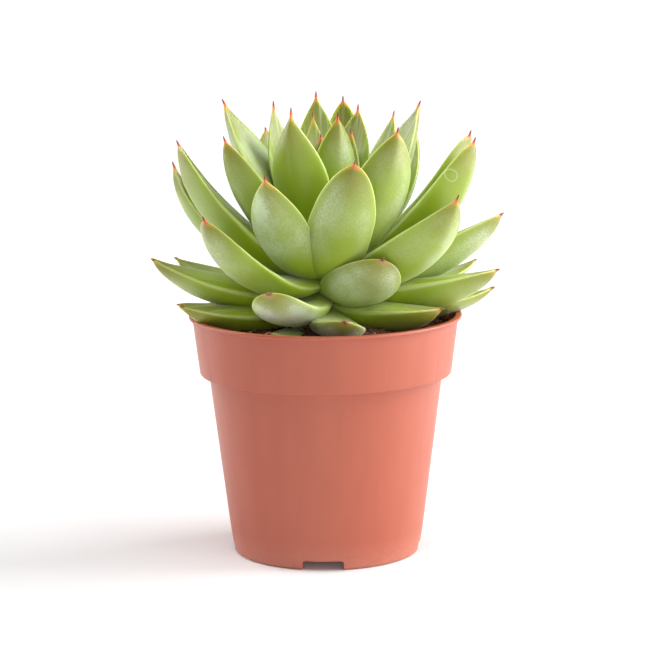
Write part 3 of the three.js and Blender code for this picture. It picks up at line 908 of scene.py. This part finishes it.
@dataclass
class PottingSoil:
    """Peat compost that fills the pot, with crumbs, bark chips and fibres on its top."""

    pot: NurseryPot
    edge_height: float = 100.6
    mound: float = 3.2
    gap: float = 0.3
    clump_size: float = 7.0
    clump_height: float = 0.75
    grain_size: float = 1.6
    grain_height: float = 0.32
    edge_drop: float = 0.7
    rings: int = 96
    columns: int = 264
    crumb_count: int = 1500
    chip_count: int = 170
    chip_stretch: tuple[float, float, float] = (2.6, 1.1, 0.45)
    fibre_count: int = 110
    fibre_tint: float = 0.42
    curl_foot: tuple[float, float, float] = (52.4, 10.0, 101.2)
    curl_run: tuple[float, float, float] = (2.6, -23.0, 0.0)
    curl_rise: float = 10.6
    curl_bow: float = 0.5
    curl_radius: float = 0.3
    curl_tint: float = 1.2
    finish: PeatCompost = PeatCompost()

    def edge_radius(self) -> float:
        """Radius at which the soil meets the pot's wall."""
        return self.pot.collar_inner_radius(self.edge_height) - self.gap

    def top_height(self, points: np.ndarray) -> np.ndarray:
        """Height of the soil's top.

        Formula: a flat dome over the distance from the axis, plus fractal noise in clumps
        and in grains, and a slight shrink from the pot's wall.

        Args:
            points: x and y on the last axis.

        Returns:
            The heights.
        """
        share = np.linalg.norm(points, axis=-1) / self.edge_radius()
        flat = np.concatenate([points, np.zeros((*points.shape[:-1], 1))], -1)
        clumps = fractal_noise(flat, self.clump_size, 11, 3) * self.clump_height
        grains = fractal_noise(flat, self.grain_size, 21, 2) * self.grain_height
        shrink = self.edge_drop * smooth((share - 0.95) / 0.05)
        return self.edge_height + self.mound * (1 - share ** 2) + clumps + grains - shrink

    def block(self) -> Shell:
        """The soil's body: a revolved outline of the pot's inside, with an uneven top.

        Returns:
            The surface.
        """
        pot, gap = self.pot, self.gap
        bottom = pot.plate_underside + pot.plate_thickness + gap
        shoulder = pot.collar_foot_height + pot.wall + gap
        side = [(0, bottom), (pot.body_radius(bottom) - pot.wall - gap, bottom),
                (pot.body_top_radius - pot.wall - gap, shoulder),
                (pot.collar_inner_radius(shoulder) - gap, shoulder)]
        radii = self.edge_radius() * (1 - np.arange(self.rings + 1) / self.rings)
        top = np.stack([radii, np.full_like(radii, self.edge_height)], -1)
        shell = revolve(np.concatenate([side, top]), even_turns(self.columns))
        on_top = shell.points[:, 2] > self.edge_height - 0.01
        shell.points[on_top, 2] = self.top_height(shell.points[on_top, :2])
        shell.fields["tint"] = np.zeros(len(shell.points))
        return shell.facing_out()

    def grains(self) -> Shell:
        """Loose crumbs and bark chips.

        Formula: each is an icosahedron whose corners are pushed in or out at random, then
        stretched on three axes, tilted, turned about the upright, and set on the soil's top.

        Returns:
            All of them as one surface, with a tint for each.
        """
        random = np.random.default_rng(5)
        golden = (1 + math.sqrt(5)) / 2
        corners = np.array([np.roll((short, long * golden, 0), axis)
                            for axis in range(3) for long in (1, -1) for short in (-1, 1)])
        corners /= np.linalg.norm(corners[0])
        faces = np.array([[0, 11, 5], [0, 5, 1], [0, 1, 7], [0, 7, 10], [0, 10, 11], [1, 5, 9], [5, 11, 4],
                          [11, 10, 2], [10, 7, 6], [7, 1, 8], [3, 9, 4], [3, 4, 2], [3, 2, 6], [3, 6, 8],
                          [3, 8, 9], [4, 9, 5], [2, 4, 11], [6, 2, 10], [8, 6, 7], [9, 8, 1]])
        count = self.crumb_count + self.chip_count
        chip = np.arange(count) >= self.crumb_count
        size = np.where(chip, random.uniform(0.6, 1.0, count), random.uniform(0.28, 0.85, count) ** 1.4)
        stretch = np.where(chip[:, None], self.chip_stretch, random.uniform(0.7, 1.25, (count, 3)))
        shape = corners * random.uniform(0.72, 1.2, (count, 12, 1)) * stretch[:, None] * size[:, None, None]
        angle = random.uniform(0, 2 * np.pi, (count, 1))
        tilt = random.normal(0, 0.25, (count, 1))
        x, y, z = np.moveaxis(shape, -1, 0)
        x, z = rotated(x, z, tilt)
        x, y = rotated(x, y, angle)
        radius = (self.edge_radius() - 1.2) * np.sqrt(random.uniform(0.02, 1, count))
        place = radius[:, None] * outward(random.uniform(0, 360, count))
        place[:, 2] = self.top_height(place[:, :2]) + 0.25 * size
        points = (np.stack([x, y, z], -1) + place[:, None]).reshape(-1, 3)
        tint = np.where(chip, random.uniform(0.1, 0.45, count), random.uniform(-0.3, 0.65, count))
        return Shell(points, repeated(faces, count, 12), {"tint": np.repeat(tint, 12)}).facing_out()

    def fibres(self) -> Shell:
        """Fine peat fibres: gently bent strands that lie on the top, and one dry curl by the lip.

        Formula: a start, a level direction and a bend give a parabola; its height is the
        soil's top plus a low arch. The curl runs out from its foot, climbs by the share to the
        power 1.6, and bows sideways as a sine.

        Returns:
            All of them as one surface, with a tint for each kind.
        """
        random = np.random.default_rng(9)
        count = self.fibre_count
        share = np.linspace(0, 1, 7)
        step = share[:, None]
        start = (self.edge_radius() - 8) * np.sqrt(random.uniform(0, 1, (count, 1)))
        start = start * outward(random.uniform(0, 360, count))
        heading = outward(random.uniform(0, 360, count))
        length = random.uniform(3, 9, (count, 1, 1))
        bend = random.normal(0, 0.3, (count, 1, 1))
        way = step * heading[:, None] + bend * step ** 2 * quarter_on(heading)[:, None]
        path = start[:, None] + length * way
        path = path[np.linalg.norm(path[..., :2], axis=-1).max(1) < self.edge_radius() - 0.6]
        arch = random.uniform(0.1, 1.3, (len(path), 1)) * np.sin(np.pi * share)
        path[..., 2] = self.top_height(path[..., :2]) + 0.1 + arch
        strands = tubes(path, random.uniform(0.08, 0.17, len(path)))
        run = np.array(self.curl_foot) + step * np.array(self.curl_run)
        run[:, 2] += self.curl_rise * share ** 1.6
        run[:, 0] += self.curl_bow * np.sin(2 * np.pi * share)
        curl = tubes(run[None], np.array([self.curl_radius]))
        for shell, tint in ((strands, self.fibre_tint), (curl, self.curl_tint)):
            shell.fields["tint"] = np.full(len(shell.points), tint)
        return strands.joined(curl)

    def build(self) -> list[Piece]:
        """Build the soil, its loose grains and its fibres.

        Returns:
            The three pieces.
        """
        material = self.finish.material("peat compost milled")
        return [dress(self.block().to_object("soil_peat"), material, "soil", "soil"),
                dress(self.grains().to_object("soil_crumbs", faceted=True), material, "soil"),
                dress(self.fibres().to_object("soil_fibres"), material, "soil")]


@dataclass
class Stem:
    """The short stem, sunk in the soil and tapering up through the leaf bases."""

    bottom: float = 96.0
    wide_height: float = 108.0
    narrow_height: float = 136.0
    wide_radius: float = 9.5
    narrow_radius: float = 4.0
    top: float = 164.0
    top_radius: float = 1.6
    unevenness: float = 0.03
    columns: int = 64
    finish: StemBark = StemBark()

    def radius(self, height: Values) -> Values:
        """Radius at a height between the wide and the narrow end."""
        share = np.clip((height - self.wide_height) / (self.narrow_height - self.wide_height), 0, 1)
        return blend(self.wide_radius, self.narrow_radius, share)

    def build(self) -> list[Piece]:
        """Build the stem: a revolved taper whose skin swells and shrinks a little.

        Formula: straight tapers between the named heights; the radius is then scaled by
        one plus a small share of a lattice noise.

        Returns:
            The one piece.
        """
        corners = np.array([[0, self.bottom], [self.wide_radius * 0.8, self.bottom],
                            [self.wide_radius, self.wide_height], [self.narrow_radius, self.narrow_height],
                            [self.top_radius, self.top], [0, self.top + self.top_radius]])
        fine = np.linspace(0, len(corners) - 1, 61)
        profile = np.stack([np.interp(fine, np.arange(len(corners)), axis) for axis in corners.T], -1)
        shell = revolve(profile, even_turns(self.columns))
        shell.points[:, :2] *= 1 + self.unevenness * lattice_noise(shell.points, 2.5, 31)[:, None]
        material = self.finish.material("green stem turning corky")
        return [dress(shell.to_object("stem_core"), material, "stem", "stem")]


# ---------------------------------------------------------------- rosette


class Age(Enum):
    """How old a leaf is: its bloom, how far its tip has dried, its gutter and its pale margin."""

    OLD = (0.56, 0.9, 0.02, 0.35)
    RIPE = (0.50, 0.6, 0.06, 0.45)
    FULL = (0.42, 0.0, 0.14, 0.5)
    YOUNG = (0.34, 0.0, 0.18, 0.45)
    BUD = (0.30, 0.0, 0.18, 0.5)


OLD, RIPE, FULL, YOUNG, BUD = Age


@dataclass(frozen=True)
class Leaf:
    """One leaf of the plant.

    turn is about the stem; reach and height place the tip; curl is how far it bends up;
    blunt is lower for a blunter tip; roll turns the inner face; sway moves the tip
    sideways; curve sets where along the leaf it bends; wax scales the pale bloom on it,
    which is partly real bloom and partly painted reflected light: higher on leaves that
    face the lights and the table, lower where more bloom has rubbed off and on leaves in
    shade; mark places a dried water drop, from the tip and across.
    """

    turn: float
    reach: float
    height: float
    curl: float
    width: float
    thick: float
    blunt: float
    age: Age
    roll: float = 0.0
    sway: float = 0.0
    curve: float = 1.7
    wax: float = 0.7
    mark: tuple[float, float] | None = None


# The wax values also paint light and shade: high on leaves that face the lights and the table, low on
# leaves in shade.
LEAVES = (
    Leaf(-27, 54, 106, 34, 15, 7, 0.7, OLD),
    Leaf(9, 54, 111.5, 30, 24, 12, 0.5, OLD, roll=10, wax=2.2),
    Leaf(150, 60, 111, 24, 26, 10, 1.0, OLD),
    Leaf(-172, 60, 110, 24, 26, 10, 1.0, OLD),
    Leaf(-69, 67, 113.5, 20, 27, 15, 1.1, OLD, curve=1.6, wax=0.2),
    Leaf(-96, 66, 109, 28, 26, 10, 0.5, OLD, roll=6, wax=0.2),
    Leaf(-140, 64, 113, 28, 27, 10, 1.1, OLD),
    Leaf(58, 60, 113, 25, 27, 15, 1.0, RIPE, roll=4, curve=0.8, wax=0.3),
    Leaf(94, 75, 116, 30, 26, 11, 1.2, OLD, roll=4),
    Leaf(-23, 63, 125, 52, 27, 10, 0.4, OLD, roll=-10, sway=1, curve=1.5, wax=2.2),
    Leaf(-114, 74, 126.5, 30, 27, 10, 1.0, OLD, roll=8),
    Leaf(170, 62, 125, 38, 27, 10.5, 1.1, RIPE),
    Leaf(-84, 76.5, 133, 32, 32, 15, 1.2, OLD, sway=8, curve=0.8, wax=0.25),
    Leaf(116, 76, 124, 30, 26, 8, 0.8, OLD, roll=6),
    Leaf(77, 77.5, 127.5, 22, 26, 17, 0.6, RIPE, roll=8, curve=1.0, wax=0.5),
    Leaf(32, 47, 136.5, 52, 30, 13, 0.5, RIPE, roll=26, curve=2.0, wax=1.4),
    Leaf(80, 78.5, 151.5, 22, 31, 16, 0.6, RIPE, roll=14, wax=0.8),
    Leaf(-160, 66, 142, 42, 29, 11, 1.1, RIPE),
    Leaf(150, 70, 138, 42, 28, 11, 1.1, RIPE),
    Leaf(-47, 70, 155.5, 68, 34, 10, 0.6, FULL, roll=5, curve=1.0, wax=0.6),
    Leaf(54, 70, 163, 56, 33, 12, 0.9, FULL, roll=18, curve=1.4, wax=0.6),
    Leaf(-101, 68, 171.5, 54, 28, 12.5, 1.2, FULL, wax=0.2),
    Leaf(-31, 55.5, 173, 47, 27, 8.5, 0.9, FULL, roll=-8, sway=4, curve=0.8, wax=1.9),
    Leaf(7, 58, 180, 50, 28, 11, 0.6, FULL, roll=14, sway=6, curve=0.8, wax=0.7),
    Leaf(92, 64, 185.5, 66, 32, 9, 0.5, FULL, roll=30, curve=0.8, wax=0.4),
    Leaf(72, 68, 185, 64, 31, 12, 0.6, FULL, roll=17, curve=0.8, wax=0.1, mark=(17.5, -9)),
    Leaf(-85, 64, 183, 54, 36, 14, 0.5, FULL, curve=0.8, wax=0.15),
    Leaf(-145, 46, 184, 25, 26, 9.5, 0.8, RIPE),
    Leaf(119, 47, 185, 50, 22, 10, 1.2, FULL, roll=-10),
    Leaf(-178, 56, 176, 44, 27, 10, 1.1, FULL),
    Leaf(138, 47, 191, 30, 17, 8.5, 1.0, FULL),
    Leaf(-57, 51, 187, 40, 24, 11, 0.8, FULL, roll=-11, curve=0.8, wax=0.35),
    Leaf(33, 57, 192.5, 49, 28, 12, 0.8, FULL, roll=14, curve=0.8, wax=0.6),
    Leaf(-109, 46, 199, 14, 33, 12, 1.3, FULL, sway=3, curve=0.8, wax=1.2),
    Leaf(165, 33, 198, 50, 20, 8.5, 0.7, YOUNG, roll=-8),
    Leaf(101, 43, 198, 25, 29, 11, 1.3, FULL, roll=-14, curve=0.8),
    Leaf(-30, 28, 198.5, 35, 26, 10, 1.3, YOUNG, roll=-8, curve=1.4, wax=0.2),
    Leaf(-173, 28, 200.5, 33, 22, 8.5, 1.1, YOUNG),
    Leaf(-118, 25, 198, 36, 21, 7, 1.5, YOUNG, roll=10, curve=1.0),
    Leaf(134, 21, 196, 23, 23, 8.5, 1.0, YOUNG, roll=-6),
    Leaf(30, 12, 195, 14, 22, 7, 1.0, YOUNG, wax=0.7),
    Leaf(-148, 9, 193.5, 12, 15, 5.5, 1.2, BUD),
    Leaf(115, 13, 186.5, 30, 18, 5.5, 1.2, BUD, roll=-12),
    Leaf(-20, 4, 185.5, 13, 12, 4, 0.7, BUD),
)

@dataclass
class Rosette:
    """All the leaves, lowest first, and the shape that they share."""

    stem: Stem
    leaves: tuple[Leaf, ...] = LEAVES
    outer_count: int = 25
    lowest_base: float = 104.5
    highest_base: float = 138.0
    crowding: float = 0.9
    base_inset: float = 1.5
    widest_at: float = 0.52
    base_width: float = 0.52
    base_thickness: float = 0.42
    thickest_at: float = 0.4
    outer_share: float = 0.66
    keel: float = 0.5
    usual_width: float = 28.0
    spine_length: float = 2.5
    spine_radius: float = 0.7
    spine_end_radius: float = 0.26
    ripple: float = 0.22
    ripple_size: float = 11.0
    edge_wave: float = 0.022
    edge_wave_size: float = 13.0
    # Bloom scales by where a face looks: painted shade on faces away from the side lights, painted
    # highlight on flanks towards them.
    front_shaded_bloom: float = 0.55
    flank_highlight_bloom: float = 1.8
    inner_bloom_loss: float = 0.45
    face_shift: float = 6.0
    leaf_shift: float = 31.0
    rows: int = 88
    columns: int = 60
    finish: LeafSkin = LeafSkin()

    def spine_line(self, leaf: Leaf, order: int, u: np.ndarray) -> tuple[np.ndarray, ...]:
        """The line along the middle of a leaf.

        Formula: the slope grows as curl times u to the power curve; its running sum gives
        the line, which is then turned and scaled to join the base to the tip.

        Args:
            leaf: the leaf.
            order: its place from the lowest.
            u: places along it, from 0 at the base to 1 at the tip.

        Returns:
            Distance out, height, slope in radians, and the leaf's length.
        """
        steps = 200
        bend = math.radians(leaf.curl) * ((np.arange(steps) + 0.5) / steps) ** leaf.curve
        x, y = (np.concatenate([[0], np.cumsum(part)]) / steps for part in (np.cos(bend), np.sin(bend)))
        share = (order / (len(self.leaves) - 1)) ** self.crowding
        base_height = blend(self.lowest_base, self.highest_base, share)
        base_radius = float(self.stem.radius(base_height)) - self.base_inset
        across, up = leaf.reach - base_radius, leaf.height - base_height
        length = math.hypot(across, up) / math.hypot(x[-1], y[-1])
        tilt = math.atan2(up, across) - math.atan2(y[-1], x[-1])
        x, y = (np.interp(u, np.linspace(0, 1, steps + 1), part) * length for part in (x, y))
        x, y = rotated(x, y, tilt)
        return base_radius + x, base_height + y, tilt + math.radians(leaf.curl) * u ** leaf.curve, length

    def leaf_shell(self, leaf: Leaf, order: int) -> Shell:
        """One leaf as a closed surface over its length and round its section.

        Formula: at u along the leaf the half width follows a quarter sine up to the widest
        place and then (1 - x^2.2)^blunt; round the section the inner face is a low lens and
        the outer face blends from a lens to a ridge, which is the keel; the square of the
        place across lifts the margins into a shallow gutter. The last millimetres are a
        thin tapering spine, joined to the leaf by the cube root of a sum of cubes. Low noise
        makes the faces uneven. The bloom is painted thicker on the flanks that look along X,
        towards the side lights, as a painted highlight, and thinner elsewhere, as painted shade.

        Args:
            leaf: the leaf.
            order: its place from the lowest.

        Returns:
            The surface, with the values that its skin reads.
        """
        random = np.random.default_rng(100 + order)
        u = 1 - (1 - np.linspace(0, 1, self.rows)[:, None]) ** 1.5
        out_distance, height, slope, length = self.spine_line(leaf, order, u)
        bloom, dry, channel, pale_edge = leaf.age.value

        # The frame along the leaf: its middle line, the way across, and the inner face's way.
        out = outward(leaf.turn)
        sideways = np.cross(UPRIGHT, out)
        inward = -np.sin(slope) * out + np.cos(slope) * UPRIGHT
        across, face = rotated(sideways, inward, math.radians(leaf.roll) * quarter_sine(u / 0.4))
        centre = out_distance * out + height * UPRIGHT + leaf.sway * u ** 2 * sideways

        # Half width, and depth of the outer and the inner face, along the leaf.
        slim = min(leaf.width / self.usual_width, 1)
        spine_length = self.spine_length * (1 - 0.6 * dry) * (0.55 + 0.45 * slim)
        body_end = 1 - spine_length / length
        v = np.clip(u / body_end, 0, 1)
        rise = blend(self.base_width, 1, quarter_sine(v / self.widest_at))
        beyond = np.clip((v - self.widest_at) / (1 - self.widest_at), 0, 1)
        outline = np.where(v < self.widest_at, rise, (1 - beyond ** 2.2) ** leaf.blunt)
        full = blend(self.base_thickness, 1, quarter_sine(v / self.thickest_at)) * (1 - v ** 4) ** 0.75
        to_end = np.clip((1 - u) / (1 - body_end), 0, 1)
        spine = blend(self.spine_end_radius, self.spine_radius, to_end ** 1.2) * (0.6 + 0.4 * slim)
        half, outer, inner = (
            (size ** 3 + spine ** 3) ** (1 / 3)
            for size in (leaf.width / 2 * outline, leaf.thick * self.outer_share * full,
                         leaf.thick * (1 - self.outer_share) * (1 - v ** 2.4)))
        keel = np.clip((u - 0.2) / 0.6, 0, 1) * self.keel
        gutter = channel * np.clip(u / 0.5, 0, 1) * half

        # The section, with its columns drawn towards the margins.
        turn = np.linspace(0, 2 * np.pi, self.columns, endpoint=False)
        theta = turn - 0.45 * np.sin(2 * turn) / 2
        c, s = np.cos(theta), np.sin(theta)
        lens = np.abs(s) ** (1.05 + 0.2 * smooth((u - 0.5) / 0.5))
        ridge = 1 - np.abs(c) ** 1.35
        depth = np.where(s >= 0, inner * lens, -outer * blend(lens, ridge, keel))
        wave_at = np.stack([u * length, np.full_like(u, order * 7.0), np.zeros_like(u)], -1)
        wave = self.edge_wave * lattice_noise(wave_at, self.edge_wave_size, 51)
        x = half * c * (1 + wave * np.sign(c))
        y = depth + gutter * c * c
        points = centre[:, None] + across[:, None] * x[..., None] + face[:, None] * y[..., None]
        relief = self.ripple * fractal_noise(points + order * 17.0, self.ripple_size, 61, 2)
        relief *= s * smooth(full / 0.3)
        points += face[:, None] * relief[..., None]

        # What the skin reads. In the pattern's space the faces of a leaf, and the leaves,
        # lie apart, so that no two look alike.
        tip = centre[-1:] + (out * np.cos(slope[-1]) + UPRIGHT * np.sin(slope[-1])) * self.spine_end_radius
        layer = order * self.leaf_shift
        place = np.stack(np.broadcast_arrays(x, u * length, np.sign(s) * self.face_shift + layer), -1)
        mark = (1e3, 1e3, 1e3)
        if leaf.mark:
            mark = (leaf.mark[1], length - leaf.mark[0], layer - self.face_shift)
        # How far each face looks along X, towards the side lights: the bloom there is raised as a painted
        # highlight, and lowered elsewhere as painted shade.
        facing = np.cross(np.roll(points, -1, 1) - np.roll(points, 1, 1), np.gradient(points, axis=0))
        flank = np.abs(facing[..., 0]) / np.maximum(np.linalg.norm(facing, axis=-1), 1e-9)
        bloom_and_highlight = bloom * leaf.wax * random.uniform(0.88, 1.1)
        bloom_and_highlight = bloom_and_highlight * blend(self.front_shaded_bloom, self.flank_highlight_bloom, smooth((flank - 0.1) / 0.7))
        inner_face = smooth((s / 0.5 + 1) / 2)
        fields = {"leaf_place": place, "mark_place": mark, "inner_face": inner_face,
                  "margin_mm": (1 - np.abs(c)) * half, "tip_mm": np.linalg.norm(points - tip, axis=-1),
                  "along": u, "bloom": bloom_and_highlight * (1 - self.inner_bloom_loss * inner_face), "dry": dry,
                  "pale_edge": pale_edge}
        for key, value in fields.items():
            grid = np.broadcast_to(value, points.shape if key.endswith("_place") else x.shape)
            rows = grid.reshape(-1, *grid.shape[2:])
            fields[key] = np.concatenate([rows, grid[:1].mean(1), grid[-1:].mean(1)])
        faces = grid_quads(self.rows, self.columns).tolist() + end_fans(self.rows, self.columns).tolist()
        return Shell(np.concatenate([points.reshape(-1, 3), centre[:1], tip]), faces, fields).facing_out()

    def build(self) -> list[Piece]:
        """Build every leaf and let each stand for its CAD node.

        Returns:
            The leaves, lowest first.
        """
        material = self.finish.material("leaf skin with wax bloom")
        pieces = []
        for order, leaf in enumerate(self.leaves):
            node = f"leaf_{order + 1:02d}"
            slot = "outer_leaf" if order < self.outer_count else "inner_leaf"
            piece = self.leaf_shell(leaf, order).to_object(f"fleshy_{node}")
            pieces.append(dress(piece, material, slot, node))
        return pieces


# ---------------------------------------------------------------- studio


@dataclass
class Softbox:
    """A flat soft light, placed round the plant and aimed at it. Its lengths are metres."""

    name: str
    turn: float
    elevation: float
    distance: float
    width: float
    tall: float
    power: float
    aim: tuple[float, float, float] = (0.0, 0.0, 0.1)

    def build(self) -> Piece:
        """Place the light: distance along the turn and elevation from its aim.

        Returns:
            The light, linked to the scene.
        """
        data = bpy.data.lights.new(self.name, "AREA")
        data.shape, data.size, data.size_y = "RECTANGLE", self.width, self.tall
        data.energy = self.power
        lamp = bpy.data.objects.new(self.name, data)
        rise = math.radians(self.elevation)
        away = Vector(outward(self.turn)) * math.cos(rise) + Vector(UPRIGHT) * math.sin(rise)
        lamp.location = Vector(self.aim) + away * self.distance
        lamp.rotation_euler = away.to_track_quat("Z", "Y").to_euler()
        bpy.context.scene.collection.objects.link(lamp)
        return lamp


@dataclass
class Studio:
    """A white light table in a white room, with soft lights and the camera of the photograph.

    Its lengths are metres but for the table's, and its angles degrees.
    """

    table_side_mm: float = 8000.0
    table_drop_mm: float = 0.05
    room_light: float = 0.15
    lens_mm: float = 156.85
    sensor_mm: float = 36.0
    camera_distance: float = 1.245
    camera_elevation: float = 10.17
    camera_roll: float = 0.432
    camera_range: tuple[float, float] = (0.05, 30.0)
    plant_middle: tuple[float, float, float] = (0.0, 0.0, 0.1)
    look_at: tuple[float, float, float] = (-0.00018, 0.00008, 0.10043)
    finish: LightTable = LightTable()
    lights: tuple[Softbox, ...] = (
        Softbox("side_right", 100, 25, 1.1, 0.9, 1.1, 18.5),
        Softbox("front_right", 62, 28, 1.1, 0.9, 1.1, 5.0),
        Softbox("back_left", -115, 30, 1.1, 0.9, 1.1, 11.2),
        Softbox("front_low", 6, 14, 1.2, 0.8, 0.5, 2.5),
        Softbox("front_top", 6, 62, 1.1, 0.7, 0.7, 3.5),
    )

    def table(self) -> Piece:
        """The floor: one level square, a hair under the pot's foot.

        Returns:
            The floor, which isn't part of the object.
        """
        half, low = self.table_side_mm / 2, -self.table_drop_mm
        corners = [(x * half, y * half, low) for x, y in ((-1, -1), (1, -1), (1, 1), (-1, 1))]
        floor = Shell(np.array(corners), [[0, 1, 2, 3]]).to_object("light_table", faceted=True)
        floor.data.materials.append(self.finish.material("acrylic table lit from below"))
        return floor

    def room(self) -> None:
        """White all round, dimmer on the camera's side, and plain white where it is seen."""
        world = bpy.data.worlds.new("white_room")
        bpy.context.scene.world = world
        world.use_nodes = True
        world.node_tree.nodes.clear()
        add = partial(add_node, world.node_tree)
        forward = add("SeparateXYZ", [add("TexCoord", output="Generated")], output="Y")
        level = add("MapRange", [forward, -1.0, 0.3, 0.0, self.room_light])
        lit, seen = (add("Background", ["FFFFFF", strength]) for strength in (level, 1.0))
        direct = add("LightPath", output="Is Camera Ray")
        add("OutputWorld", [add("MixShader", [direct, lit, seen])])

    def camera(self) -> Piece:
        """The camera, from its measured distance, elevation and small roll.

        Returns:
            The camera, which the scene now uses.
        """
        rise, roll = math.radians(self.camera_elevation), math.radians(self.camera_roll)
        place = Vector((0, -math.cos(rise), math.sin(rise))) * self.camera_distance
        place += Vector(self.plant_middle)
        back = (place - Vector(self.look_at)).normalized()
        right = Vector(UPRIGHT).cross(back).normalized()
        up = back.cross(right)
        across = right * math.cos(roll) - up * math.sin(roll)
        upright = right * math.sin(roll) + up * math.cos(roll)
        data = bpy.data.cameras.new("photo_camera")
        data.lens, data.sensor_width = self.lens_mm, self.sensor_mm
        data.clip_start, data.clip_end = self.camera_range
        camera = bpy.data.objects.new("photo_camera", data)
        matrix = Matrix((across, upright, back)).transposed().to_4x4()
        matrix.translation = place
        camera.matrix_world = matrix
        bpy.context.scene.collection.objects.link(camera)
        bpy.context.scene.camera = camera
        return camera

    def build(self) -> list[Piece]:
        """Build the table, the room, the lights and the camera, with plain display colours.

        Returns:
            The table, the camera and the lights.
        """
        self.room()
        view = bpy.context.scene.view_settings
        view.view_transform, view.look, view.exposure, view.gamma = "Standard", "None", 0.0, 1.0
        return [self.table(), self.camera(), *(light.build() for light in self.lights)]


# ---------------------------------------------------------------- the potted plant


def report(part: str, pieces: Sequence[Piece]) -> None:
    """Log each piece of a part with its number of triangles.

    Args:
        part: the part's name.
        pieces: what it is made of.
    """
    for piece in pieces:
        if piece.type == "MESH":
            count = sum(len(face.vertices) - 2 for face in piece.data.polygons)
            log.info("%s: %s, %d triangles", part, piece.name, count)


def main() -> None:
    """Build the studio and the plant."""
    logging.basicConfig(level=logging.INFO, format="%(message)s")
    pot = NurseryPot()
    stem = Stem()
    for part, maker in (("studio", Studio()), ("pot", pot), ("soil", PottingSoil(pot)), ("stem", stem),
                        ("rosette", Rosette(stem))):
        report(part, maker.build())


if __name__ == "__main__":
    main()
